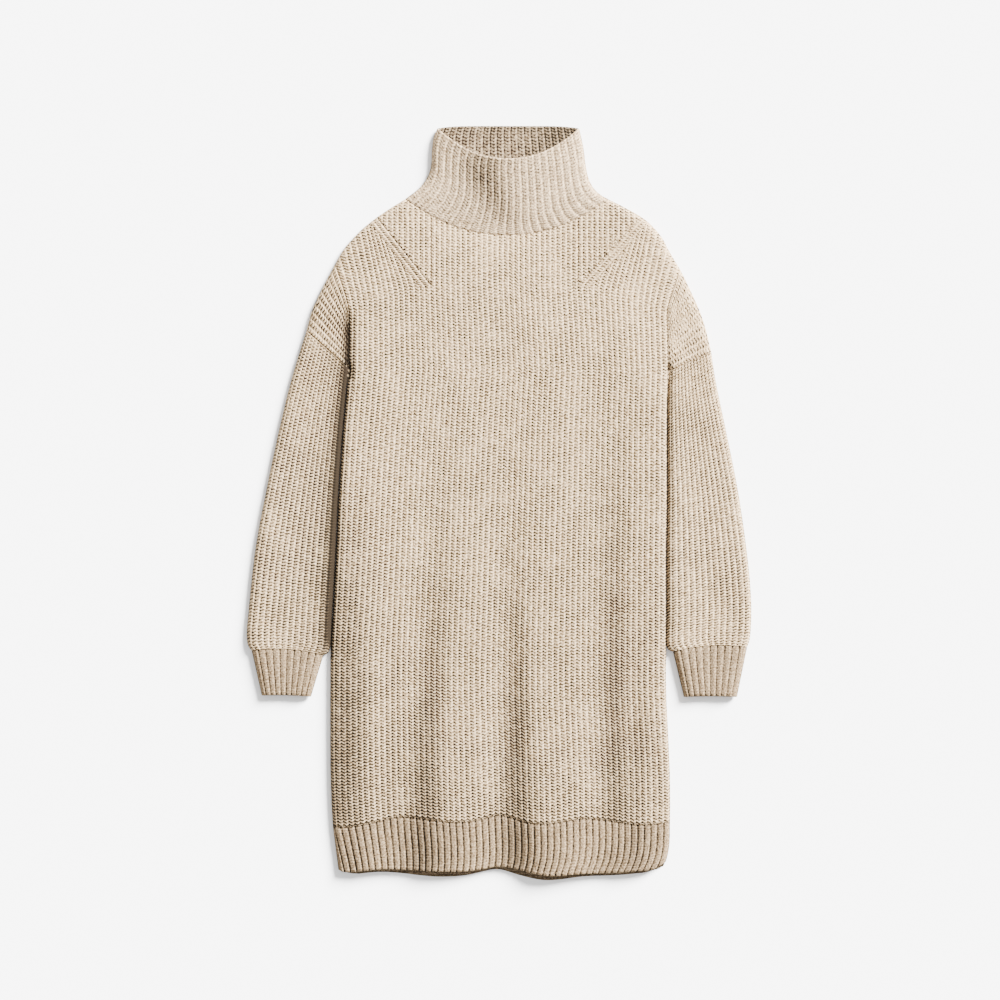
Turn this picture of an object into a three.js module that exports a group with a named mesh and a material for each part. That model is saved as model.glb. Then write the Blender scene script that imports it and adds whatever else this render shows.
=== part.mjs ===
// A chunky ribbed sweater dress with a funnel neck, laid flat on its back.
// Millimetres, +Z up. The origin is on the surface it lies on, under the middle of the garment,
// +Y runs from the hem to the neck, and +X is the right of the garment as it is seen from above.
import * as THREE from 'three';

// Cloth: a plain knitted wall, with ribs raised on the side that shows.
const wall = 3;
const ribHeight = 1.3;
const seamGap = 0.3;
const layerGap = 0.3;

// Cross-section of every laid panel: the side seam stands at mid height and the cloth rounds over to it.
const seamHeight = 4.2;
const edgeRound = 12;
const edgePuff = 3;
const puffReach = 46;
const flatTop = 2 * wall + layerGap;

// Body sides, from the hem to the underarm: y, and x of the left and right edge.
const bodySides = [
  { y: -483, left: -208, right: 209 },
  { y: -467, left: -210, right: 217 },
  { y: -448, left: -212.5, right: 221 },
  { y: -418, left: -216, right: 222 },
  { y: -363, left: -218.5, right: 222 },
  { y: -311, left: -219, right: 220 },
  { y: -246, left: -219, right: 217 },
  { y: -194, left: -218.5, right: 217 },
  { y: -129, left: -215, right: 217 },
  { y: -64, left: -211.5, right: 217 },
  { y: 1, left: -208.5, right: 218 },
  { y: 79, left: -203.5, right: 218 },
  { y: 131, left: -199, right: 218.5 },
  { y: 172, left: -195.5, right: 220 },
];
const underarm = { left: { x: -195.5, y: 172 }, right: { x: 220, y: 167 } };

// Shoulder lines, from the top of the armhole seam to the foot of the collar.
const shoulderLeft = [
  { x: -250, y: 220 },
  { x: -242, y: 248 },
  { x: -230, y: 274 },
  { x: -216, y: 300 },
  { x: -201.5, y: 326 },
  { x: -190, y: 339.5 },
  { x: -178, y: 352 },
  { x: -162, y: 365 },
  { x: -144, y: 377.5 },
  { x: -122, y: 391 },
];
const shoulderRight = [
  { x: 275.5, y: 193 },
  { x: 268, y: 224 },
  { x: 260.5, y: 246 },
  { x: 248, y: 274 },
  { x: 235, y: 300 },
  { x: 219.5, y: 326 },
  { x: 213, y: 339 },
  { x: 203, y: 352 },
  { x: 189, y: 365 },
  { x: 168.5, y: 377.5 },
  { x: 142, y: 391 },
];

// Outer edges of the sleeves, from the armhole seam to the cuff seam.
const sleeveOuterLeft = [
  { x: -250, y: 220 },
  { x: -258, y: 195 },
  { x: -269.5, y: 157 },
  { x: -285.5, y: 92 },
  { x: -302, y: 14 },
  { x: -316.5, y: -64 },
  { x: -325, y: -142 },
  { x: -327.5, y: -175 },
  { x: -325.5, y: -189 },
  { x: -321, y: -195 },
];
const sleeveOuterRight = [
  { x: 275.5, y: 193 },
  { x: 281, y: 157 },
  { x: 294.5, y: 92 },
  { x: 310, y: 14 },
  { x: 321.5, y: -64 },
  { x: 327, y: -121 },
  { x: 327.5, y: -155 },
  { x: 325.5, y: -180 },
  { x: 322, y: -191 },
];
// The inner edge of a sleeve lies along the body and turns in to the cuff seam at its foot.
const sleeveClearance = 1.6;
const underarmClearanceShare = 0.35;
const innerSteps = 9;
const innerTurn = { left: { y: -190, x: -228, endY: -201 }, right: { y: -190, x: 226, endY: -196 } };
const turnShare = { x: 0.35, y: 0.7 };
const seamArch = 5;

// Cuffs: x and y of the outer and inner edge, at the seam and at the open end.
const cuffs = {
  left: {
    seamOuter: [-321, -195],
    seamInner: [-228, -201],
    endOuter: [-308, -253],
    endInner: [-244, -254.5],
  },
  right: {
    seamOuter: [322, -191],
    seamInner: [226, -196],
    endOuter: [309, -255],
    endInner: [240, -255],
  },
};
const cuffArch = 1;

// Where the ribbed hem band joins the body, and its lower edge.
const hemJoin = [
  { x: -216, y: -423 },
  { x: -192, y: -423 },
  { x: -157, y: -416 },
  { x: -129, y: -410 },
  { x: -92, y: -413 },
  { x: -55, y: -416.5 },
  { x: -27, y: -414 },
  { x: 1, y: -408 },
  { x: 36, y: -416.5 },
  { x: 64, y: -418 },
  { x: 109, y: -412 },
  { x: 144, y: -415 },
  { x: 179, y: -420 },
  { x: 222, y: -417 },
];
const hemEdge = [
  { x: -212, y: -477 },
  { x: -202, y: -482 },
  { x: -160, y: -478.5 },
  { x: -129, y: -478.5 },
  { x: -77, y: -480.5 },
  { x: -46, y: -481 },
  { x: -25, y: -479 },
  { x: 1, y: -475 },
  { x: 27, y: -479 },
  { x: 58, y: -485 },
  { x: 79, y: -486 },
  { x: 110, y: -484 },
  { x: 152, y: -483 },
  { x: 183, y: -480.5 },
  { x: 204, y: -478 },
  { x: 216, y: -469 },
];
const hemTopY = -418;
const hemFootY = -470;
const hemBackEdge = -478;
const hemBackJoin = -416;

// Folds that lift the front off the back: the middle of each ridge at the hem, its height there,
// how far it reaches to its left and right, and how high up the body it runs before it fades out.
const folds = [
  { x: -176, height: 2.5, left: 26, right: 34, reach: 90, lean: 0 },
  { x: -78, height: 8, left: 32, right: 52, reach: 330, lean: 0.03 },
  { x: 62, height: 10, left: 36, right: 58, reach: 400, lean: -0.02 },
  { x: 172, height: 4, left: 28, right: 34, reach: 120, lean: 0 },
  { x: -150, height: 2.4, left: 40, right: 60, reach: 560, lean: 0.04 },
];
const hemY = -484;
const foldShare = 0.25;
const foldFadePower = 1.5;
const foldFromEdge = 30;

// Collar: edges from its foot to its mouth, and how far its front and back dip between them.
const collarSides = [
  { y: 391, left: -122, right: 142 },
  { y: 397, left: -114, right: 131 },
  { y: 404, left: -105, right: 124 },
  { y: 410, left: -99, right: 119.5 },
  { y: 419, left: -93, right: 116 },
  { y: 432, left: -88.5, right: 113 },
  { y: 456, left: -87, right: 110 },
  { y: 473, left: -84.5, right: 106.5 },
  { y: 483, left: -80, right: 104 },
];
const collar = {
  frontFootDip: 47,
  frontMouthDip: 41,
  backFootDip: 6,
  backMouthRise: 3.5,
  backPower: 6,
  mouthLift: 12,
  liftPower: 1.4,
  insideRibShare: 0.7,
};
const neckPower = 2.1;

// The soft fold down the front of the collar: its ridge, height, reach to each side and lean.
const collarFold = { x: 14, height: 3.5, left: 20, right: 42, lean: -0.25, from: 0.12, rise: 0.4 };

// Ribs on the side that shows.
const ribs = { body: 60, hem: 52, sleeve: 14, cuff: 10, collar: 22 };

// Colours of the yarn where it lies in the light and in the folds.
const yarn = { body: 0xd1c4b4, sleeve: 0xcbbdad, rib: 0xbcab96, collar: 0xd8cbbb, under: 0xb3a18a };

function knit(color) {
  return new THREE.MeshStandardMaterial({ color, roughness: 0.95, metalness: 0 });
}

// Small helpers.
const lerp = (a, b, t) => a + (b - a) * t;
const clamp = (t) => Math.min(1, Math.max(0, t));
const ease = (t) => clamp(t) * clamp(t) * (3 - 2 * clamp(t));
const quarterRound = (t) => Math.sqrt(1 - (1 - clamp(t)) ** 2);

// The value of one column of a table between its rows, on a smooth curve.
function along(table, key, at, value) {
  const sign = Math.sign(table[table.length - 1][key] - table[0][key]);
  let i = 0;
  while (i < table.length - 2 && sign * (value - table[i + 1][key]) > 0) i += 1;
  const [a, b] = [table[i], table[i + 1]];
  const before = table[i - 1] ?? a;
  const after = table[i + 2] ?? b;
  const t = clamp((value - a[key]) / (b[key] - a[key]));
  const slopeA = ((b[at] - before[at]) / (b[key] - before[key])) * (b[key] - a[key]);
  const slopeB = ((after[at] - a[at]) / (after[key] - a[key])) * (b[key] - a[key]);
  const [t2, t3] = [t * t, t * t * t];
  const level = (2 * t3 - 3 * t2 + 1) * a[at] + (3 * t2 - 2 * t3) * b[at];
  return level + (t3 - 2 * t2 + t) * slopeA + (t3 - t2) * slopeB;
}

// A smooth plan curve through the rows of a table.
function planCurve(rows) {
  const points = rows.map((row) => new THREE.Vector3(row.x, row.y, 0));
  return new THREE.CatmullRomCurve3(points, false, 'centripetal');
}

const leftSide = (y) => along(bodySides, 'y', 'left', y);
const rightSide = (y) => along(bodySides, 'y', 'right', y);
const shoulders = { left: planCurve(shoulderLeft), right: planCurve(shoulderRight) };
const collarEdge = {
  left: planCurve(collarSides.map((row) => ({ x: row.left, y: row.y }))),
  right: planCurve(collarSides.map((row) => ({ x: row.right, y: row.y }))),
};

// The inner edge of a sleeve, down the side of the body and in to the cuff.
function sleeveInner(side) {
  const body = side === 'left' ? leftSide : rightSide;
  const away = side === 'left' ? -sleeveClearance : sleeveClearance;
  const turn = innerTurn[side];
  const start = underarm[side];
  const rows = [];
  for (let i = 0; i <= innerSteps; i += 1) {
    const y = lerp(start.y, turn.y, i / innerSteps);
    rows.push({ x: body(y) + away * Math.min(1, underarmClearanceShare + i), y });
  }
  const last = rows[rows.length - 1];
  rows.push({ x: lerp(last.x, turn.x, turnShare.x), y: lerp(turn.y, turn.endY, turnShare.y) });
  rows.push({ x: turn.x, y: turn.endY });
  return planCurve(rows);
}
const sleeveEdges = {
  left: { outer: planCurve(sleeveOuterLeft), inner: sleeveInner('left') },
  right: { outer: planCurve(sleeveOuterRight), inner: sleeveInner('right') },
};

// Distance in plan from a point to the nearest of several edge lines.
const edgeSamples = 60;
function edgeLine(points) {
  return points.map((p) => new THREE.Vector2(p.x, p.y));
}
function distanceTo(lines, x, y) {
  let best = Infinity;
  for (const line of lines) {
    for (let i = 0; i + 1 < line.length; i += 1) {
      const [a, b] = [line[i], line[i + 1]];
      const [dx, dy] = [b.x - a.x, b.y - a.y];
      const t = clamp(((x - a.x) * dx + (y - a.y) * dy) / (dx * dx + dy * dy));
      best = Math.min(best, Math.hypot(x - a.x - t * dx, y - a.y - t * dy));
    }
  }
  return best;
}
function sideLine(side) {
  const edge = side === 'left' ? leftSide : rightSide;
  const points = [];
  for (let i = 0; i <= edgeSamples; i += 1) {
    const y = lerp(hemY - edgeRound, underarm[side].y, i / edgeSamples);
    points.push({ x: edge(y), y });
  }
  return edgeLine(points);
}
const bodyEdges = [
  sideLine('left'),
  sideLine('right'),
  edgeLine(shoulders.left.getSpacedPoints(edgeSamples)),
  edgeLine(shoulders.right.getSpacedPoints(edgeSamples)),
];

// Heights of the four faces of two laid layers, from the distance to the outer edge.
const puff = (d) => edgePuff * Math.exp(-((Math.max(0, d - edgeRound) / puffReach) ** 2));
const crown = (d) => flatTop + puff(d);
const inner = (d) => (d - wall) / (edgeRound - wall);
const upperOutside = (d) => seamHeight + (crown(d) - seamHeight) * quarterRound(d / edgeRound);
const upperInside = (d) => seamHeight + (crown(d) - wall - seamHeight) * quarterRound(inner(d));
const lowerInside = (d) => seamHeight - (seamHeight - wall) * quarterRound(inner(d));
const lowerOutside = (d) => seamHeight * (1 - quarterRound(d / edgeRound));

// How far the folds lift the front at a point.
function foldLift(x, y, d) {
  let lift = 0;
  for (const fold of folds) {
    const up = clamp((y - hemY) / fold.reach);
    const middle = fold.x + fold.lean * (y - hemY);
    const reach = (x < middle ? fold.left : fold.right) * (1 + foldShare * up);
    const across = (x - middle) / reach;
    lift += fold.height * Math.exp(-across * across) * (1 - ease(up)) ** foldFadePower;
  }
  return lift * ease((d - wall) / foldFromEdge);
}

// A closed skin: rows of points, joined into strips of triangles.
class Skin {
  constructor() {
    this.points = [];
    this.faces = [];
  }

  row(points) {
    return points.map((p) => this.points.push(p) - 1);
  }

  // Joins two rows that run the same way; they may have different numbers of points.
  strip(a, b) {
    const stations = (line) => {
      const at = [0];
      for (let i = 1; i < line.length; i += 1) {
        at.push(at[i - 1] + this.points[line[i]].distanceTo(this.points[line[i - 1]]));
      }
      return at.map((s) => s / at[at.length - 1]);
    };
    const inStep = a.length === b.length;
    const sa = inStep ? [...a.keys()] : stations(a);
    const sb = inStep ? [...b.keys()] : stations(b);
    let [i, j] = [0, 0];
    while (i + 1 < a.length || j + 1 < b.length) {
      const stepA = j + 1 >= b.length || (i + 1 < a.length && sa[i + 1] <= sb[j + 1]);
      if (stepA) {
        this.faces.push([a[i], a[i + 1], b[j]]);
        i += 1;
      } else {
        this.faces.push([a[i], b[j + 1], b[j]]);
        j += 1;
      }
    }
  }

  // Four borders close a wall between an outer and an inner grid; a tube has only its two ends.
  wallOf(outer, inside, isTube) {
    const outerRows = outer.map((line) => this.row(line));
    const innerRows = inside.map((line) => this.row(line));
    if (isTube) {
      for (const line of outerRows.concat(innerRows)) line.push(line[0]);
    }
    for (let j = 0; j + 1 < outerRows.length; j += 1) this.strip(outerRows[j], outerRows[j + 1]);
    for (let j = 0; j + 1 < innerRows.length; j += 1) this.strip(innerRows[j + 1], innerRows[j]);
    this.strip(innerRows[0], outerRows[0]);
    this.strip(outerRows[outerRows.length - 1], innerRows[innerRows.length - 1]);
    if (!isTube) {
      const first = (rows) => rows.map((line) => line[0]);
      const last = (rows) => rows.map((line) => line[line.length - 1]);
      this.strip(first(outerRows), first(innerRows));
      this.strip(last(innerRows), last(outerRows));
    }
    return this;
  }

  mesh(name, color) {
    const volume = this.faces.reduce((sum, [a, b, c]) => {
      const [p, q, r] = [this.points[a], this.points[b], this.points[c]];
      return sum + p.dot(q.clone().cross(r));
    }, 0);
    const faces = volume < 0 ? this.faces.map(([a, b, c]) => [a, c, b]) : this.faces;
    const geometry = new THREE.BufferGeometry();
    const places = this.points.flatMap((p) => [p.x, p.y, p.z]);
    geometry.setAttribute('position', new THREE.Float32BufferAttribute(places, 3));
    geometry.setIndex(faces.flat());
    const mesh = new THREE.Mesh(geometry, knit(color));
    mesh.name = name;
    return mesh;
  }
}

// Stations across a ribbed width: the rounded edge first, then a valley and a crest for each rib.
const edgeSteps = [0.6, 2];
function ribStations(width, count) {
  const step = width / count / 2;
  const list = [{ at: 0, crest: 0 }];
  for (const s of edgeSteps) list.push({ at: s, crest: 0 });
  for (let i = 1; i < 2 * count; i += 1) list.push({ at: i * step, crest: i % 2 });
  for (const s of [...edgeSteps].reverse()) list.push({ at: width - s, crest: 0 });
  list.push({ at: width, crest: 0 });
  return list;
}
// Stations across a plain width, closer at its two edges.
const outsideEdge = [0, 0.6, 2, 5];
const insideEdge = [0, 4.5, 7.5];
function plainStations(width, count, list = outsideEdge) {
  const middle = [];
  for (let i = 0; i <= count; i += 1) middle.push(lerp(edgeRound, width - edgeRound, i / count));
  return [...list, ...middle, ...[...list].reverse().map((s) => width - s)];
}

// Front and back share one plan: up the sides to the underarm, then out to the armhole and shoulders.
const shoulderRibs = 14;
const shoulderShare = shoulderRibs / ribs.body;
const shoulderBend = 0.6;
function neckPoint(share, dip) {
  const [left, right] = [collarSides[0].left, collarSides[0].right];
  const s = 2 * share - 1;
  return { x: lerp(left, right, share), y: collarSides[0].y - dip * (1 - Math.abs(s) ** neckPower) };
}
function topPoint(u, dip) {
  if (u < shoulderShare) return shoulders.left.getPointAt(u / shoulderShare);
  if (u > 1 - shoulderShare) return shoulders.right.getPointAt((1 - u) / shoulderShare);
  return neckPoint((u - shoulderShare) / (1 - 2 * shoulderShare), dip);
}
function bodyPoint(u, row, dip, foot) {
  const armY = lerp(underarm.left.y, underarm.right.y, u);
  const armX = lerp(underarm.left.x, underarm.right.x, u);
  if (row.low !== undefined) {
    const footX = lerp(leftSide(hemTopY), rightSide(hemTopY), u);
    const y = lerp(foot(footX), armY, row.low);
    return { x: lerp(leftSide(Math.min(y, armY)), rightSide(Math.min(y, armY)), u), y };
  }
  const top = topPoint(u, dip);
  const length = Math.hypot(top.x - armX, top.y - armY);
  const w = row.high !== undefined ? row.high : 1 - row.below / length;
  const bend = 1 + shoulderBend * ease(Math.min(u, 1 - u) / shoulderShare);
  return { x: armX + (top.x - armX) * w ** bend, y: lerp(armY, top.y, w) };
}

// Rows of a body panel: shares of the height below the underarm, shares above it, then steps to the top edge.
const lowRows = [0, 0.07, 0.16, 0.27, 0.4, 0.55, 0.7, 0.86, 1].map((low) => ({ low }));
const highRows = [0.22, 0.44, 0.64, 0.8].map((high) => ({ high }));
const outsideRows = [...lowRows, ...highRows, ...[12, 5.5, 2.2, 0.6, 0].map((below) => ({ below }))];
const insideRows = [...lowRows, ...highRows, ...[12, 7, 0].map((below) => ({ below }))];

// A point on the inner face of a panel keeps the wall's thickness from the outer edge.
const slopeStep = 0.05;
function pulledIn(p) {
  const d = distanceTo(bodyEdges, p.x, p.y);
  if (d >= wall) return p;
  const e = slopeStep;
  const gx = distanceTo(bodyEdges, p.x + e, p.y) - distanceTo(bodyEdges, p.x - e, p.y);
  const gy = distanceTo(bodyEdges, p.x, p.y + e) - distanceTo(bodyEdges, p.x, p.y - e);
  const size = Math.hypot(gx, gy);
  return { x: p.x + (gx / size) * (wall - d), y: p.y + (gy / size) * (wall - d) };
}
// On a seam the inner point slides along the seam instead.
function insidePoint(u, row, dip, foot) {
  const p = bodyPoint(u, row, dip, foot);
  if ((u === 0 || u === 1) && row.low === undefined) {
    const side = u === 0 ? 'left' : 'right';
    const from = underarm[side];
    const to = side === 'left' ? shoulderLeft[0] : shoulderRight[0];
    const length = Math.hypot(to.x - from.x, to.y - from.y);
    const share = Math.hypot(p.x - from.x, p.y - from.y) / length;
    const t = Math.min(1 - wall / length, Math.max(wall / length, share));
    return { x: lerp(from.x, to.x, t), y: lerp(from.y, to.y, t) };
  }
  if (row.below === 0 && u >= shoulderShare && u <= 1 - shoulderShare) {
    const inset = wall / (collarSides[0].right - collarSides[0].left);
    const share = (u - shoulderShare) / (1 - 2 * shoulderShare);
    return neckPoint(Math.min(1 - inset, Math.max(inset, share)), dip);
  }
  return pulledIn(p);
}

const hemJoinAt = (x) => along(hemJoin, 'x', 'y', x);
const hemEdgeAt = (x) => along(hemEdge, 'x', 'y', x);
const bodyWidth = rightSide(hemTopY) - leftSide(hemTopY);
const insideColumns = 24;
const plainOutside = plainStations(bodyWidth, insideColumns);
const plainInside = plainStations(bodyWidth, insideColumns, insideEdge);
const ribFadeWidth = 7;
const ribFade = (d) => ease(d / ribFadeWidth);

// The four faces of the two laid layers, over any plan of points.
const faces = {
  frontOutside(p, crest = 0, drop = 0) {
    const d = distanceTo(bodyEdges, p.x, p.y);
    const raised = (ribHeight * crest - drop) * ribFade(d);
    return new THREE.Vector3(p.x, p.y, upperOutside(d) + seamGap / 2 + foldLift(p.x, p.y, d) + raised);
  },
  frontInside(p) {
    const d = Math.max(wall, distanceTo(bodyEdges, p.x, p.y));
    return new THREE.Vector3(p.x, p.y, upperInside(d) + seamGap / 2 + foldLift(p.x, p.y, d));
  },
  backInside(p) {
    const d = Math.max(wall, distanceTo(bodyEdges, p.x, p.y));
    return new THREE.Vector3(p.x, p.y, lowerInside(d) - seamGap / 2);
  },
  backOutside(p) {
    const d = distanceTo(bodyEdges, p.x, p.y);
    const split = (seamGap / 2) * (1 - clamp(d / edgeRound));
    return new THREE.Vector3(p.x, p.y, Math.max(0, lowerOutside(d) - split));
  },
};

function front() {
  const foot = (x) => hemJoinAt(x) + seamGap / 2;
  const columns = ribStations(bodyWidth, ribs.body);
  const outer = outsideRows.map((row) => columns.map((s) => {
    const p = bodyPoint(s.at / bodyWidth, row, collar.frontFootDip, foot);
    return faces.frontOutside(p, s.crest);
  }));
  const inside = insideRows.map((row) =>
    plainInside.map((at) => faces.frontInside(insidePoint(at / bodyWidth, row, collar.frontFootDip, foot))));
  return new Skin().wallOf(outer, inside, false).mesh('front', yarn.body);
}

function back() {
  const foot = () => hemBackJoin + seamGap / 2;
  const upper = insideRows.map((row) =>
    plainInside.map((at) => faces.backInside(insidePoint(at / bodyWidth, row, collar.backFootDip, foot))));
  const under = outsideRows.map((row) =>
    plainOutside.map((at) => faces.backOutside(bodyPoint(at / bodyWidth, row, collar.backFootDip, foot))));
  return new Skin().wallOf(upper, under, false).mesh('back', yarn.under);
}

// Hem bands: the front one follows the folds, the back one lies flat.
const hemRows = [0, 0.3, 0.6, 0.88, 0.975, 1];
const hemBackRows = [0, 0.5, 1];
const hemEdgeDrop = 0.9;
function hemPoint(u, v, join, edge) {
  const top = join(lerp(leftSide(hemTopY), rightSide(hemTopY), u));
  const bottom = edge(lerp(leftSide(hemFootY), rightSide(hemFootY), u));
  const y = lerp(top, bottom, v);
  return { x: lerp(leftSide(y), rightSide(y), u), y };
}
function hemFront() {
  const join = (x) => hemJoinAt(x) - seamGap / 2;
  const columns = ribStations(bodyWidth, ribs.hem);
  const outer = hemRows.map((v) => columns.map((s) => {
    const end = v === 1;
    return faces.frontOutside(hemPoint(s.at / bodyWidth, v, join, hemEdgeAt), s.crest, end ? hemEdgeDrop : 0);
  }));
  const inside = hemRows.map((v) =>
    plainInside.map((at) => faces.frontInside(pulledIn(hemPoint(at / bodyWidth, v, join, hemEdgeAt)))));
  return new Skin().wallOf(outer, inside, false).mesh('hem_front', yarn.rib);
}
function hemBack() {
  const join = () => hemBackJoin - seamGap / 2;
  const edge = () => hemBackEdge;
  const upper = hemBackRows.map((v) =>
    plainInside.map((at) => faces.backInside(pulledIn(hemPoint(at / bodyWidth, v, join, edge)))));
  const under = hemBackRows.map((v) =>
    plainOutside.map((at) => faces.backOutside(hemPoint(at / bodyWidth, v, join, edge))));
  return new Skin().wallOf(upper, under, false).mesh('hem_back', yarn.under);
}

// A flattened tube between two edge curves: the ring runs over the upper layer and back under the lower one.
const underColumns = 6;
const underTurn = 4;
function tubeRings(rows, count) {
  const outer = [];
  const inside = [];
  for (const { a, b, arch } of rows) {
    const width = a.distanceTo(b);
    const across = (at) => {
      const p = a.clone().lerp(b, at / width);
      p.y += arch * 4 * (at / width) * (1 - at / width);
      return p;
    };
    const depth = (at) => Math.min(at, width - at);
    const outerRing = ribStations(width, count).map((s) => {
      const d = depth(s.at);
      const rib = ribHeight * s.crest * ribFade(d);
      return across(s.at).setZ(upperOutside(d) + rib);
    });
    outerRing.push(across(width - underTurn).setZ(lowerOutside(underTurn)));
    for (let i = underColumns; i >= 0; i -= 1) {
      outerRing.push(across(lerp(edgeRound, width - edgeRound, i / underColumns)).setZ(0));
    }
    outerRing.push(across(underTurn).setZ(lowerOutside(underTurn)));
    const innerRing = plainStations(width - 2 * wall, underColumns).map((s) => {
      const at = s + wall;
      return across(at).setZ(upperInside(depth(at)));
    });
    for (let i = underColumns; i >= 0; i -= 1) {
      innerRing.push(across(lerp(edgeRound, width - edgeRound, i / underColumns)).setZ(wall));
    }
    outer.push(outerRing);
    inside.push(innerRing);
  }
  return { outer, inside };
}

// The armhole seam runs across at about 45 degrees, so its gap is shared between x and y.
const seamGapShare = 0.75;
const archFrom = 0.8;
const sleeveRows = [0, 0.05, 0.14, 0.26, 0.4, 0.54, 0.68, 0.82, 0.92, 0.965, 1];
function sleeve(side) {
  const { outer: outerEdge, inner: innerEdge } = sleeveEdges[side];
  const away = side === 'left' ? -seamGap : seamGap;
  const gap = new THREE.Vector3(away, -seamGap, 0).multiplyScalar(seamGapShare);
  const rows = sleeveRows.map((v) => {
    const a = outerEdge.getPointAt(v);
    const b = innerEdge.getPointAt(v);
    if (v === 0) {
      a.add(gap);
      b.add(gap);
    }
    return { a, b, arch: seamArch * ease((v - archFrom) / (1 - archFrom)) };
  });
  if (side === 'right') rows.forEach((row) => ([row.a, row.b] = [row.b, row.a]));
  const { outer, inside } = tubeRings(rows, ribs.sleeve);
  return new Skin().wallOf(outer, inside, true).mesh(`sleeve_${side}`, yarn.sleeve);
}

const cuffRows = [0, 0.08, 0.5, 0.96, 1];
function cuff(side) {
  const size = cuffs[side];
  const point = ([x, y]) => new THREE.Vector3(x, y, 0);
  const rows = cuffRows.map((v) => {
    const a = point(size.seamOuter).lerp(point(size.endOuter), v);
    const b = point(size.seamInner).lerp(point(size.endInner), v);
    a.y -= seamGap * (1 - v);
    b.y -= seamGap * (1 - v);
    return { a, b, arch: lerp(seamArch, cuffArch, v) };
  });
  if (side === 'right') rows.forEach((row) => ([row.a, row.b] = [row.b, row.a]));
  const { outer, inside } = tubeRings(rows, ribs.cuff);
  return new Skin().wallOf(outer, inside, true).mesh(`cuff_${side}`, yarn.rib);
}

// The collar is a tube whose back lies flat and whose front stands up to an open mouth.
const collarUnderColumns = 12;
const collarRows = [0, 0.14, 0.3, 0.48, 0.66, 0.84, 0.97, 1];
function collarMesh() {
  const outer = [];
  const inside = [];
  for (const v of collarRows) {
    const left = collarEdge.left.getPointAt(v);
    const right = collarEdge.right.getPointAt(v);
    left.y += seamGap * (1 - v);
    right.y += seamGap * (1 - v);
    const width = left.distanceTo(right);
    const dipFront = lerp(collar.frontFootDip, collar.frontMouthDip, v);
    const dipBack = lerp(collar.backFootDip, -collar.backMouthRise, ease(v));
    const plan = (at, dip, power) => {
      const p = left.clone().lerp(right, at / width);
      const s = (2 * at) / width - 1;
      p.y -= dip * (1 - Math.abs(s) ** power);
      return p;
    };
    const depth = (at) => Math.min(at, width - at);
    const front = (at) => plan(at, dipFront, neckPower);
    const behind = (at) => plan(at, dipBack, lerp(neckPower, collar.backPower, ease(v)));
    const mouth = (at) => {
      const s = (2 * at) / width - 1;
      const p = front(at);
      const across = p.x - collarFold.x - collarFold.lean * (p.y - collarSides[0].y);
      const reach = across < 0 ? collarFold.left : collarFold.right;
      const shown = ease((v - collarFold.from) / collarFold.rise);
      const fold = collarFold.height * Math.exp(-((across / reach) ** 2)) * shown;
      return collar.mouthLift * v ** collar.liftPower * (1 - s * s) + fold;
    };
    const stations = ribStations(width, ribs.collar);
    const outerRing = stations.map((s) => {
      const d = depth(s.at);
      const rib = ribHeight * s.crest * ribFade(d);
      return front(s.at).setZ(upperOutside(d) + mouth(s.at) + rib);
    });
    outerRing.push(behind(width - underTurn).setZ(lowerOutside(underTurn)));
    for (let i = collarUnderColumns; i >= 0; i -= 1) {
      outerRing.push(behind(lerp(edgeRound, width - edgeRound, i / collarUnderColumns)).setZ(0));
    }
    outerRing.push(behind(underTurn).setZ(lowerOutside(underTurn)));
    const innerWidth = width - 2 * wall;
    const innerRing = plainStations(innerWidth, collarUnderColumns).map((s, i, all) => {
      const at = s + wall;
      const turning = i === 0 || i === all.length - 1;
      const p = turning ? behind(at) : front(at);
      return p.setZ(upperInside(depth(at)) + mouth(at));
    });
    const ribsInside = ribStations(width, ribs.collar).filter((s) => depth(s.at) > edgeRound);
    for (const s of ribsInside.reverse()) {
      innerRing.push(behind(s.at).setZ(wall - ribHeight * (1 - s.crest) * collar.insideRibShare));
    }
    outer.push(outerRing);
    inside.push(innerRing);
  }
  return new Skin().wallOf(outer, inside, true).mesh('collar', yarn.collar);
}

const group = new THREE.Group();
group.add(front(), back(), hemFront(), hemBack(), collarMesh());
for (const side of ['left', 'right']) group.add(sleeve(side), cuff(side));

export default group;
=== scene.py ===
import bpy
import numpy as np
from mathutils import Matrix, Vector


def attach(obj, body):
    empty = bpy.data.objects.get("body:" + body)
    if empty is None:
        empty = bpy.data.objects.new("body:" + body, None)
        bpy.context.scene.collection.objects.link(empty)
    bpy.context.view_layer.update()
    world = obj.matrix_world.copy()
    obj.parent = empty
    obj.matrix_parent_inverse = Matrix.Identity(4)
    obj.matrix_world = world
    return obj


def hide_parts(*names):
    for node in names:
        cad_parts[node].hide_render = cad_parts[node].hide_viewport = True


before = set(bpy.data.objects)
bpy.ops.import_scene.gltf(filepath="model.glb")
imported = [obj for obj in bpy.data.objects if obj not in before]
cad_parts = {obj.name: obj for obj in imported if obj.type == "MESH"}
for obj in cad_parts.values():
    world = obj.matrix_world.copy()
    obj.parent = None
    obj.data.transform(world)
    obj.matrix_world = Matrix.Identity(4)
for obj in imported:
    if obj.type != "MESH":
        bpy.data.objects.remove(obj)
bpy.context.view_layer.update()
print("frame loaded")

# Plan sizes are in millimetres, as the knitwear was measured, and turn into metres where a mesh is made.
metre = 0.001
chance = np.random.default_rng(11)

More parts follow.
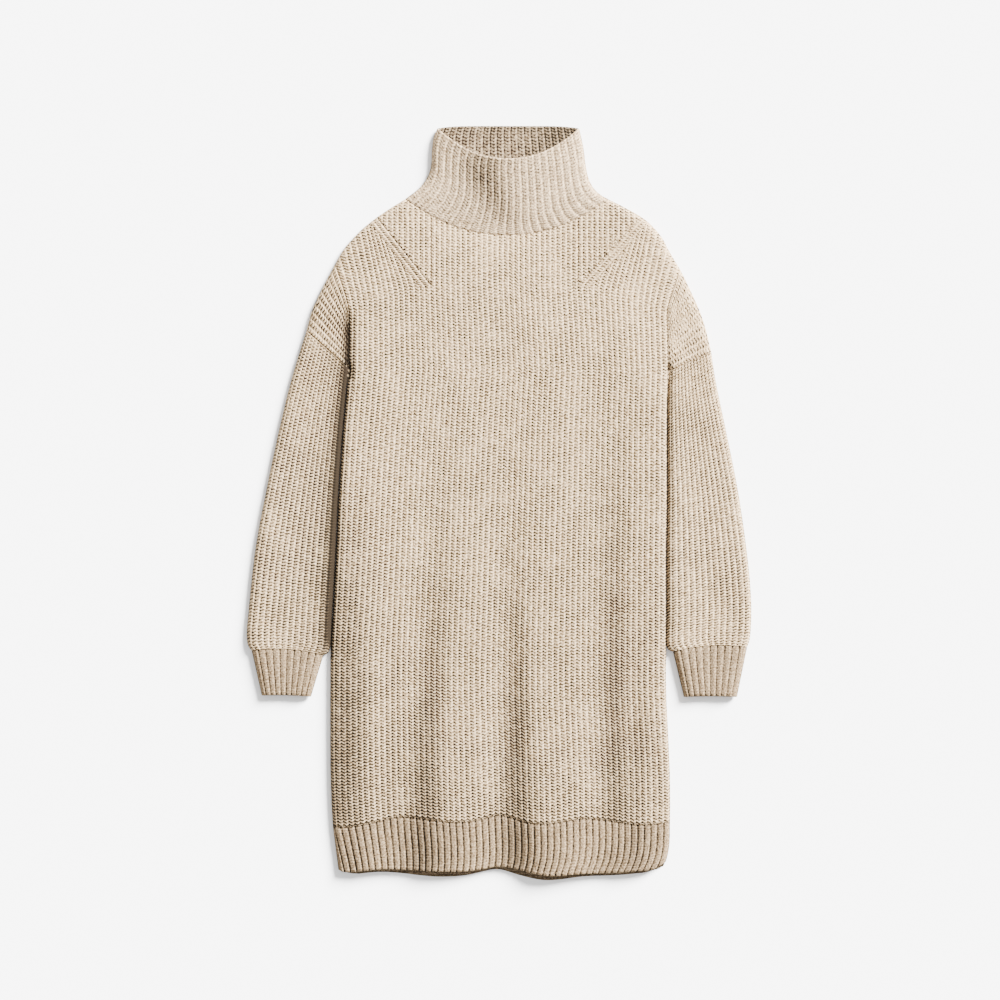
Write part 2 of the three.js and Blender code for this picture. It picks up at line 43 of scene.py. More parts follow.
cloth = {
    "wall": 3.0,
    "seamGap": 0.3,
    "seamHeight": 4.2,  # height of the side seam above the floor
    "edgeRound": 12.0,  # how wide the cloth rolls over at a side
    "edgePuff": 3.0,
    "puffReach": 46.0,
    "flatTop": 6.3,
    "knitStart": 7.0,  # how far in from an edge the knit has its full height
    "foldStart": 30.0,  # and the folds theirs
    "plainRib": 7.0,  # one rib of the painted knit on the plain faces
}
halfGap = cloth["seamGap"] / 2

# Body sides from the hem to the underarm: height up the garment, left edge, right edge.
bodySides = np.array([
    (-483, -208, 209), (-467, -210, 217), (-448, -212.5, 221), (-418, -216, 222), (-363, -218.5, 222),
    (-311, -219, 220), (-246, -219, 217), (-194, -218.5, 217), (-129, -215, 217), (-64, -211.5, 217),
    (1, -208.5, 218), (79, -203.5, 218), (131, -199, 218.5), (172, -195.5, 220),
])
underarmLeft = np.array((-195.5, 172.0))
underarmRight = np.array((220.0, 167.0))
shoulderLeft = [
    (-250, 220), (-242, 248), (-230, 274), (-216, 300), (-201.5, 326), (-190, 339.5), (-178, 352),
    (-162, 365), (-144, 377.5), (-122, 391),
]
shoulderRight = [
    (275.5, 193), (268, 224), (260.5, 246), (248, 274), (235, 300), (219.5, 326), (213, 339), (203, 352),
    (189, 365), (168.5, 377.5), (142, 391),
]
sleeveOuterLeft = [
    (-250, 220), (-258, 195), (-269.5, 157), (-285.5, 92), (-302, 14), (-316.5, -64), (-325, -142),
    (-327.5, -175), (-325.5, -189), (-321, -195),
]
sleeveOuterRight = [
    (275.5, 193), (281, 157), (294.5, 92), (310, 14), (321.5, -64), (327, -121), (327.5, -155),
    (325.5, -180), (322, -191),
]
# Where the ribbed hem joins the body, and its lower edge.
hemJoin = np.array([
    (-216, -423), (-192, -423), (-157, -416), (-129, -410), (-92, -413), (-55, -416.5), (-27, -414),
    (1, -408), (36, -416.5), (64, -418), (109, -412), (144, -415), (179, -420), (222, -417),
])
hemEdge = np.array([
    (-212, -477), (-202, -482), (-160, -478.5), (-129, -478.5), (-77, -480.5), (-46, -481), (-25, -479),
    (1, -475), (27, -479), (58, -485), (79, -486), (110, -484), (152, -483), (183, -480.5), (204, -478),
    (216, -469),
])
hemEnds = (-216, 222)  # left and right end of the join
hemSides = 470  # how far down the sides of the hem are measured
foldFoot = -484  # the foot of the folds that run up from the hem
neck = {"left": -122, "right": 142, "height": 391, "frontDip": 47, "backDip": 6, "roundness": 2.1}
# How the rows and columns of a plain panel are shared out.
underarmShare = 0.72
shoulderShare = 14 / 60
pinch = 0.987  # how far the inner face is drawn in from the sides
# Collar edges from its foot to its mouth: height, left, right.
collarSides = [
    (391, -122, 142), (397, -114, 131), (404, -105, 124), (410, -99, 119.5), (419, -93, 116),
    (432, -88.5, 113), (456, -87, 110), (473, -84.5, 106.5), (483, -80, 104),
]


def ease(t):
    t = np.clip(t, 0, 1)
    return t * t * (3 - 2 * t)


def mixed(a, b, t):
    return a + (b - a) * t


def quarterRound(t):
    return np.sqrt(1 - (1 - np.clip(t, 0, 1)) ** 2)


def bump(offset, width):
    return np.exp(-((offset / width) ** 2))


def smoothTable(places, values):
    # A smooth line through the rows of a table.
    places, values = np.array(places, float), np.array(values, float)
    before = np.r_[0, np.arange(len(places) - 1)]
    after = np.r_[np.arange(1, len(places)), len(places) - 1]
    slopes = (values[after] - values[before]) / (places[after] - places[before])

    def read(at):
        at = np.clip(at, places[0], places[-1])
        i = np.clip(np.searchsorted(places, at) - 1, 0, len(places) - 2)
        step = places[i + 1] - places[i]
        t = (at - places[i]) / step
        rise = (t**3 - 2 * t**2 + t) * slopes[i] * step + (t**3 - t**2) * slopes[i + 1] * step
        return (2 * t**3 - 3 * t**2 + 1) * values[i] + (3 * t**2 - 2 * t**3) * values[i + 1] + rise

    return read


class PlanCurve:
    # A smooth curve through points of the plan, read by its share of the length.
    def __init__(self, rows):
        rows = np.array(rows, float)
        rows = np.vstack([2 * rows[0] - rows[1], rows, 2 * rows[-1] - rows[-2]])
        gaps = np.linalg.norm(np.diff(rows, axis=0), axis=1) ** 0.5
        found = []
        for i in range(1, len(rows) - 2):
            p0, p1, p2, p3 = rows[i - 1 : i + 3]
            g0, g1, g2 = gaps[i - 1 : i + 2]
            start = ((p1 - p0) / g0 - (p2 - p0) / (g0 + g1) + (p2 - p1) / g1) * g1
            end = ((p2 - p1) / g1 - (p3 - p1) / (g1 + g2) + (p3 - p2) / g2) * g1
            t = np.linspace(0, 1, 24, endpoint=False)[:, None]
            bend = (t**3 - 2 * t**2 + t) * start + (t**3 - t**2) * end
            found.append((2 * t**3 - 3 * t**2 + 1) * p1 + (3 * t**2 - 2 * t**3) * p2 + bend)
        self.points = np.vstack(found + [rows[-2]])
        self.lengths = np.r_[0, np.cumsum(np.linalg.norm(np.diff(self.points, axis=0), axis=1))]
        self.size = self.lengths[-1]

    def at(self, share):
        place = np.clip(share, 0, 1) * self.size
        x = np.interp(place, self.lengths, self.points[:, 0])
        y = np.interp(place, self.lengths, self.points[:, 1])
        return np.stack([x, y], -1)

    def shareNear(self, point):
        return self.lengths[np.argmin(np.linalg.norm(self.points - point, axis=1))] / self.size


def distanceTo(lines, x, y):
    # Plan distance to the nearest of several lines.
    best = np.full(np.shape(x), np.inf)
    for line in lines:
        for a, b in zip(line[:-1], line[1:]):
            dx, dy = b - a
            t = np.clip(((x - a[0]) * dx + (y - a[1]) * dy) / (dx * dx + dy * dy), 0, 1)
            best = np.minimum(best, (x - a[0] - t * dx) ** 2 + (y - a[1] - t * dy) ** 2)
    return np.sqrt(best)


leftSide = smoothTable(bodySides[:, 0], bodySides[:, 1])
rightSide = smoothTable(bodySides[:, 0], bodySides[:, 2])
hemJoinAt = smoothTable(hemJoin[:, 0], hemJoin[:, 1])
hemEdgeAt = smoothTable(hemEdge[:, 0], hemEdge[:, 1])
shoulders = {"left": PlanCurve(shoulderLeft), "right": PlanCurve(shoulderRight)}
sideHeights = np.linspace(-496, 172, 61)
bodyEdges = [
    np.stack([leftSide(sideHeights), sideHeights], -1),
    np.stack([rightSide(sideHeights), sideHeights], -1),
    shoulders["left"].at(np.linspace(0, 1, 61)),
    shoulders["right"].at(np.linspace(0, 1, 61)),
]


# Heights of the faces of two laid layers, from the distance to the outer edge.
def crown(d):
    beyond = np.maximum(0, d - cloth["edgeRound"])
    return cloth["flatTop"] + cloth["edgePuff"] * bump(beyond, cloth["puffReach"])


def innerShare(d):
    return (d - cloth["wall"]) / (cloth["edgeRound"] - cloth["wall"])


def upperOutside(d):
    return cloth["seamHeight"] + (crown(d) - cloth["seamHeight"]) * quarterRound(d / cloth["edgeRound"])


def upperInside(d):
    rise = crown(d) - cloth["wall"] - cloth["seamHeight"]
    return cloth["seamHeight"] + rise * quarterRound(innerShare(d))


def lowerInside(d):
    return cloth["seamHeight"] - (cloth["seamHeight"] - cloth["wall"]) * quarterRound(innerShare(d))


def lowerOutside(d):
    return cloth["seamHeight"] * (1 - quarterRound(d / cloth["edgeRound"]))


# The big folds that lift the front off the back at the hem: middle, height, reach to the left and
# right, how far up they run, and how they lean.
hemFolds = [
    (-176, 2.5, 26, 34, 90, 0),
    (-78, 8, 32, 52, 330, 0.03),
    (62, 10, 36, 58, 400, -0.02),
    (172, 4, 28, 34, 120, 0),
    (-150, 2.4, 40, 60, 560, 0.04),
]


def foldLift(x, y, d):
    lift = 0
    for middle, height, left, right, reach, lean in hemFolds:
        up = np.clip((y - foldFoot) / reach, 0, 1)
        offset = x - middle - lean * (y - foldFoot)
        across = offset / (np.where(offset < 0, left, right) * (1 + 0.25 * up))
        lift = lift + height * np.exp(-across * across) * (1 - ease(up)) ** 1.5
    return lift * ease((d - cloth["wall"]) / cloth["foldStart"])


# The knit of the body and the sleeves: how its ribs and stitches are raised.
knit = {
    "course": 4.06,  # height of one stitch
    "valley": -0.2,
    "leg": 1.25,
    "middle": 1.0,
    "relief": 0.42,  # how far each stitch stands over the gap to the next one
    "slant": 0.5,  # how many stitches a leg climbs across half a rib
    "unevenDepth": 0.07,
    "unevenPlace": 0.12,
}


class Skin:
    # The points and faces of one piece, each corner with its place in the knit and in the baked picture.
    def __init__(self):
        self.points = []
        self.shades = []
        self.count = 0
        self.faces = []
        self.knitPlaces = []
        self.bakePlaces = []

    def add(self, x, y, z, shade=0.0):
        # shade is 0 on plain cloth, and up to 1 deep in a crease.
        points = np.stack(np.broadcast_arrays(x, y, z), -1).astype(float)
        self.points.append(points.reshape(-1, 3))
        self.shades.append(np.broadcast_to(shade, points.shape[:-1]).ravel())
        first = self.count
        self.count += points[..., 0].size
        return np.arange(first, self.count).reshape(points.shape[:-1])

    def grid(self, ids, knitPlace, box, turned=False):
        # Faces over rows and columns of points; a face that shrinks to a line is left out.
        rows, cols = ids.shape
        across, up = np.linspace(box[0], box[2], cols), np.linspace(box[1], box[3], rows)
        share = np.stack(np.meshgrid(across, up), -1)
        order = [(0, 0), (0, 1), (1, 1), (1, 0)]
        if turned:
            order = order[::-1]
        pick = [np.s_[i : rows - 1 + i, j : cols - 1 + j] for i, j in order]
        corners = np.stack([ids[p] for p in pick], -1).reshape(-1, 4)
        knitCorners = np.stack([knitPlace[p] for p in pick], -2).reshape(-1, 4, 2)
        bakeCorners = np.stack([share[p] for p in pick], -2).reshape(-1, 4, 2)
        for face, kn, bk in zip(corners.tolist(), knitCorners, bakeCorners):
            keep = [i for i in range(4) if face[i] != face[i - 1]]
            if len(keep) > 2:
                self.faces.append([face[i] for i in keep])
                self.knitPlaces.append(kn[keep])
                self.bakePlaces.append(bk[keep])

    def zipUp(self, a, b, box, turned=False):
        # Joins two rows of points of different counts with triangles.
        points = np.vstack(self.points)
        stations = []
        for line in (a, b):
            steps = np.linalg.norm(np.diff(points[line], axis=0), axis=1) + 1e-6
            stations.append(np.r_[0, np.cumsum(steps)] / steps.sum())
        i = j = 0
        while i + 1 < len(a) or j + 1 < len(b):
            stepA = j + 1 >= len(b) or (i + 1 < len(a) and stations[0][i + 1] <= stations[1][j + 1])
            if stepA:
                face, shares = [a[i], a[i + 1], b[j]], [(i, 0), (i + 1, 0), (j, 1)]
                i += 1
            else:
                face, shares = [a[i], b[j + 1], b[j]], [(i, 0), (j + 1, 1), (j, 1)]
                j += 1
            place = [(mixed(box[0], box[2], stations[s][n]), mixed(box[1], box[3], s)) for n, s in shares]
            if turned:
                face, place = face[::-1], place[::-1]
            self.faces.append([int(f) for f in face])
            self.knitPlaces.append(points[face][:, :2] / cloth["plainRib"])
            self.bakePlaces.append(np.array(place))

    def build(self, name, material):
        points = np.vstack(self.points) * metre
        mesh = bpy.data.meshes.new(name)
        mesh.from_pydata(points.tolist(), [], self.faces)
        for layer, places in (("knit", self.knitPlaces), ("OFBake", self.bakePlaces)):
            found = mesh.uv_layers.new(name=layer)
            found.data.foreach_set("uv", np.vstack(places).ravel())
        shade = mesh.attributes.new("shade", "FLOAT", "POINT")
        shade.data.foreach_set("value", np.concatenate(self.shades).astype(np.float32))
        mesh.polygons.foreach_set("use_smooth", [True] * len(mesh.polygons))
        mesh.materials.append(material)
        mesh.update()
        piece = bpy.data.objects.new(name, mesh)
        bpy.context.scene.collection.objects.link(piece)
        print(name, "faces", len(self.faces))
        return piece


def closeEdges(skin, a, b, boxes, turned=False):
    # Joins two faces along their first and last rows and columns.
    skin.zipUp(a[0], b[0], next(boxes), turned)
    skin.zipUp(a[-1], b[-1], next(boxes), not turned)
    skin.zipUp(a[:, 0], b[:, 0], next(boxes), not turned)
    skin.zipUp(a[:, -1], b[:, -1], next(boxes), turned)


def thinBoxes(x0, y0, x1, y1, count):
    # Thin strips of the baked picture, one for each seam.
    step = (y1 - y0) / count
    return iter([(x0, y0 + i * step, x1, y0 + (i + 0.8) * step) for i in range(count)])


def ribStations(count, steps):
    # Places across ribs in whole ribs: 0 is a valley and 0.5 is the middle of the raised column.
    return np.arange(count * steps + 1) / steps


def ribHeight(rib, shape):
    # Height over the plain cloth from a valley through the two legs to the next valley.
    side = 1 - np.abs(2 * (rib % 1) - 1)  # 0 in the valley, 1 on the middle
    slope = mixed(shape["valley"], shape["leg"], 0.62)
    heights = [shape["valley"], slope, shape["leg"], shape["leg"], shape["middle"]]
    return np.interp(side, [0, 0.25, 0.5, 0.8, 1], heights)


def alternate(rows):
    # One row of half stitches stands up and the next lies low.
    return np.where(rows % 2 == 0, 1, -1)


def knitRows(lengths, starts, rib, course, slant):
    # Rows of half stitches along each column, slanted to the legs of the stitches, then cut at its ends.
    side = np.abs(2 * (rib % 1) - 1)  # 1 in the valley, 0 on the middle
    last = int(np.ceil(2 * (np.max(lengths) / course + slant))) + 1
    rows = np.arange(-int(np.ceil(2 * slant)), last)[:, None]
    place = (rows / 2 + slant * (side - 0.5)) * course
    cut = np.clip(place, starts, lengths)
    return rows, cut, place


def cutIds(skin, x, y, z, place, starts, lengths, shade):
    # Points past an end of their column share the point at that end.
    ids = skin.add(x, y, z, shade)
    firstRow = np.argmax(place >= starts, axis=0)
    lastRow = place.shape[0] - 1 - np.argmax((place <= lengths)[::-1], axis=0)
    firstRow = np.maximum(firstRow - 1, 0)
    lastRow = np.minimum(lastRow + 1, place.shape[0] - 1)
    columns = np.arange(ids.shape[1])
    lead = ids[firstRow, columns]
    tail = ids[lastRow, columns]
    rows = np.arange(ids.shape[0])[:, None]
    ids = np.where(rows < firstRow, lead, ids)
    ids = np.where(rows > lastRow, tail, ids)
    return ids, lead, tail


def onlyNew(line):
    keep = [line[0]]
    for point in line[1:]:
        if point != keep[-1]:
            keep.append(point)
    return np.array(keep)


# The front: its ribs run straight up, and fan out over the shoulders past a line of shaping marks.
body = {
    "ribs": 60,
    "shoulderRibs": 16,
    "leftBranch": (-88.4, 280.2),  # foot of the shaping line
    "leftMarkEnd": (-158.5, 367.5),
    "leftCreaseTop": (-194.5, 240.0),
    "rightBranch": (102.7, 280.2),
    "rightMarkEnd": (184.0, 368.0),
    "rightCreaseTop": (218.0, 240.0),
    "creaseRibs": 10,
    "borderRibs": 2,  # ribs that follow the shaping line
    "borderWidth": 12.0,
    "leanPlaces": (0, 0.1, 0.35, 0.55, 0.75, 0.875),  # from the crease to the shaping line
    "leanAngles": (19, 14, 11, 16, 25, 34),
    "bendRound": 14.0,  # how softly a rib bends at the shoulder
    "markPlaces": (0.03, 0.24, 0.43, 0.63),  # shaping marks along the line
    "markRaise": 0.9,
    "markDip": 0.8,
    "markShade": {"left": 0.55, "right": 0.2},  # the right shoulder faces the light, so its marks show less
    "edgeStep": 0.1,
}


def neckHeight(x, dip):
    share = (x - neck["left"]) / (neck["right"] - neck["left"])
    return neck["height"] - dip * (1 - np.abs(2 * share - 1) ** neck["roundness"])


# Soft undulations of the front: x, y, length up and down, width, height, lean.
frontWaves = [
    (-146, -290, 150, 13, -1.9, 0.03),
    (-116, -60, 120, 26, 0.9, 0.05),
    (-24, -300, 170, 20, 2.0, 0.02),
    (22, -290, 190, 14, -2.3, -0.02),
    (22, -60, 130, 20, -0.9, 0.04),
    (102, -280, 180, 24, 1.9, -0.02),
    (176, -300, 140, 13, -2.0, 0.02),
    (150, 60, 120, 30, -0.9, -0.04),
    (-60, 120, 110, 34, 0.9, 0.06),
    (60, 210, 90, 40, 0.8, -0.05),
]
# Painted shade and light, in the same columns, with strength in place of height: bands on the slopes of the
# folds that turn from or toward the light, and broader patches darker or lighter.
frontPaintedShade = [
    (20, -320, 195, 17, 0.44, 0.0),
    (-92, -310, 250, 20, 0.37, 0.08),
    (-202, -310, 250, 30, 0.48, 0.04),
    (-82, -390, 60, 16, 0.14, 0.0),
    (151, -270, 280, 19, 0.39, 0.0),
    (10, -150, 90, 400, 0.05, 0.0),
    (180, -330, 120, 9, 0.1, 0.0),
    (-20, -320, 120, 16, -0.08, 0.0),
    (0, -440, 190, 500, 0.17, 0.0),
    (20, 300, 90, 120, -0.06, 0.0),
    (198, 255, 80, 45, -0.34, 0.0),
    (115, 260, 70, 50, -0.08, 0.0),
    (-222, 232, 40, 20, 0.1, 0.0),
    (0, 20, 90, 40, 0.05, 0.0),
]


def waveHeight(x, y, waves):
    rise = 0
    for cx, cy, length, width, height, lean in waves:
        rise = rise + height * bump(y - cy, length) * bump(x - cx - lean * (y - cy), width)
    return rise


# Creases down the armholes: line, depth, width and shade.
creaseLines = [
    (np.array([(-196, 160), (-195.5, 205), (-195.5, 228), (-197, 244)], float), 2.6, 5.0, 0.75),
    (np.array([(-200, 170), (-200, 205), (-201, 240)], float), 0.0, 8.0, 0.4),
    (np.array([(-189, 140), (-188, 200), (-188.5, 236)], float), 0.8, 2.2, 0.2),
    (np.array([(220, 167), (219, 205), (218.4, 245)], float), 1.0, 3.0, 0.12),
]


def markSpots(x, y):
    # For each shaping mark, how far the points are from its middle, and how dark it is.
    found = []
    for side in ("left", "right"):
        branch, end = np.array(body[side + "Branch"]), np.array(body[side + "MarkEnd"])
        for place in body["markPlaces"]:
            spot = mixed(branch, end, place)
            found.append((np.hypot(x - spot[0], y - spot[1]), body["markShade"][side]))
    return found


def frontShade(x, y):
    shade = waveHeight(x, y, frontPaintedShade)
    for line, _, width, dark in creaseLines:
        shade = shade + dark * bump(distanceTo([line], x, y), width) * ease((262 - y) / 45)
    # The sleeves shade the sides of the body, down to the cuffs.
    beside = ease((192 - y) / 24) * (y > -205)
    shade = shade + beside * 0.6 * bump(x - leftSide(y), 3.5)
    shade = shade + beside * 0.16 * bump(x - rightSide(y), 3.0)
    for away, dark in markSpots(x, y):
        shade = shade + dark * bump(away, 2.4)
    seam = np.abs(y - hemJoinAt(np.clip(x, *hemEnds)))
    neckX = np.clip(x, neck["left"], neck["right"])
    fromNeck = np.abs(neckHeight(neckX, neck["frontDip"]) - y)
    overNeck = (x > neck["left"]) & (x < neck["right"])
    return shade + 0.2 * bump(seam, 2.0) - 0.22 * overNeck * bump(fromNeck, 28)


def frontHeight(x, y, rib, rows):
    d = distanceTo(bodyEdges, x, y)
    base = upperOutside(d) + halfGap + foldLift(x, y, d)
    soft = waveHeight(x, y, frontWaves) * ease(d / cloth["foldStart"])
    for line, depth, width, _ in creaseLines:
        near = distanceTo([line], x, y)
        soft = soft - depth * bump(near, width) * ease((285 - y) / 40)
    for away, _ in markSpots(x, y):
        soft = soft + body["markRaise"] * bump(away - 4.2, 1.6) - body["markDip"] * bump(away, 2.2)
    relief = knit["relief"] * alternate(rows)
    uneven = chance.normal(0, knit["unevenDepth"], np.shape(x))
    return base + soft + ease(d / cloth["knitStart"]) * (ribHeight(rib, knit) + relief + uneven)


def straightColumn(foot, rib):
    # Points of one rib from the hem join to the underarm.
    share = rib / body["ribs"]
    top = mixed(underarmLeft, underarmRight, share)
    y = np.linspace(foot, top[1], 40)
    return np.stack([mixed(leftSide(y), rightSide(y), share), y], -1)


def borderEnd(own, side):
    # Where a rib that follows the shaping line meets the shoulder.
    edge = shoulders[side]
    out = (body["shoulderRibs"] - own) / body["borderRibs"] * body["borderWidth"]
    return edge.at(edge.shareNear(np.array(body[side + "MarkEnd"])) - out / edge.size)


def shoulderStart(own, side):
    share = own / body["shoulderRibs"]
    return mixed(np.array(body[side + "CreaseTop"]), np.array(body[side + "Branch"]), share)


def borderColumn(own, side):
    return mixed(shoulderStart(own, side), borderEnd(own, side), np.linspace(0, 1, 30)[:, None])


def bentColumn(own, side):
    # A shoulder rib from its bend up to the shoulder, or to the border of the shaping line if that
    # is nearer: its points, and whether it reached the shoulder.
    start = shoulderStart(own, side)
    inner = body["shoulderRibs"] - body["borderRibs"]
    if own >= inner:
        return start[None], False
    mirror = 1 if side == "left" else -1
    lean = np.tan(np.radians(np.interp(own / body["shoulderRibs"], body["leanPlaces"], body["leanAngles"])))
    up = np.arange(0, 150, 0.5)
    x = start[0] - mirror * lean * (up - body["bendRound"] * (1 - np.exp(-up / body["bendRound"])))
    y = start[1] + up
    edge = shoulders[side].at(np.linspace(0, 1, 800))
    onEdge = np.interp(y, edge[:, 1], edge[:, 0] * mirror)
    border = borderColumn(inner, side)
    onBorder = np.interp(y, border[:, 1], border[:, 0] * mirror)
    onBorder = np.where(y < border[0, 1], np.inf, onBorder)
    onBorder = np.where(y > border[-1, 1], np.inf, onBorder)
    room = np.minimum(x * mirror - onEdge, onBorder - x * mirror)
    last = int(np.argmax(room < 0))
    share = room[last - 1] / (room[last - 1] - room[last])
    end = mixed(np.array((x[last - 1], y[last - 1])), np.array((x[last], y[last])), share)
    reached = x[last] * mirror - onEdge[last] < onBorder[last] - x[last] * mirror
    return np.vstack([np.stack([x[:last], y[:last]], -1), end]), bool(reached)


def columnReader(columns):
    # Lengths of several columns, and their plan points at a place along each.
    lengths = []
    for points in columns:
        lengths.append(np.r_[0, np.cumsum(np.linalg.norm(np.diff(points, axis=0), axis=1))])

    def read(place):
        x, y = np.empty(place.shape), np.empty(place.shape)
        for k, points in enumerate(columns):
            x[:, k] = np.interp(place[:, k], lengths[k], points[:, 0])
            y[:, k] = np.interp(place[:, k], lengths[k], points[:, 1])
        return x, y

    return np.array([line[-1] for line in lengths]), read


def knitPatch(skin, columns, ribs, box, starts=0.0, turned=False, shared=None):
    # A patch of stitches on the columns; returns its points, and those at the start and end of the columns.
    # shared holds the points and length of a neighbour's last column, which this patch's first column uses.
    lengths, read = columnReader(columns)
    starts = np.broadcast_to(np.asarray(starts, float), lengths.shape)
    course = knit["course"]
    rows, cut, place = knitRows(lengths, starts, ribs, course, knit["slant"])
    x, y = read(cut)
    z = frontHeight(x, y, ribs, rows)
    inside = (cut == place).astype(float)
    x = x + inside * chance.normal(0, knit["unevenPlace"], x.shape)
    y = y + inside * chance.normal(0, knit["unevenPlace"], x.shape)
    ids, lead, tail = cutIds(skin, x, y, z, place, starts, lengths, frontShade(x, y))
    if shared is not None:
        count = min(len(shared[0]), len(ids), int(np.argmax(place[:, 0] > shared[1])))
        ids[:count, 0] = shared[0][:count]
    knitPlace = np.stack([np.broadcast_to(ribs, x.shape), cut / course], -1)
    skin.grid(ids, knitPlace, box, turned)
    return ids, lead, tail


def footAt(share):
    # Foot of the front at a share of its width.
    return float(hemJoinAt(mixed(*hemEnds, share))) + halfGap


def panelPoint(u, w, foot, dip):
    # A plan point of a plain panel, at shares of its width and its height.
    arm = mixed(underarmLeft, underarmRight, u)
    if w <= underarmShare:
        y = mixed(foot, arm[1], w / underarmShare)
        return mixed(leftSide(y), rightSide(y), u), y
    if u < shoulderShare:
        top = shoulders["left"].at(u / shoulderShare)
    elif u > 1 - shoulderShare:
        top = shoulders["right"].at((1 - u) / shoulderShare)
    else:
        x = mixed(neck["left"], neck["right"], (u - shoulderShare) / (1 - 2 * shoulderShare))
        top = np.array((x, neckHeight(x, dip)))
    t = (w - underarmShare) / (1 - underarmShare)
    bend = 1 + 0.6 * ease(min(u, 1 - u) / shoulderShare)
    return arm[0] + (top[0] - arm[0]) * t**bend, mixed(arm[1], top[1], t)


# Where the parts of the front lie in the baked picture: left, low, right, high.
frontBake = {
    "patches": [
        (0, 0, 0.15, 1),
        (0.152, 0, 0.2, 1),
        (0.202, 0, 0.498, 1),
        (0.5, 0, 0.548, 1),
        (0.55, 0, 0.7, 1),
    ],
    "fill": {"left": (0.71, 0.0, 0.83, 0.2), "right": (0.71, 0.22, 0.83, 0.42)},
    "wedge": {"left": (0.71, 0.44, 0.83, 0.64), "right": (0.71, 0.66, 0.83, 0.86)},
    "inside": (0.84, 0, 1, 1),
    "seams": (0.71, 0.88, 0.83, 0.99, 13),
}


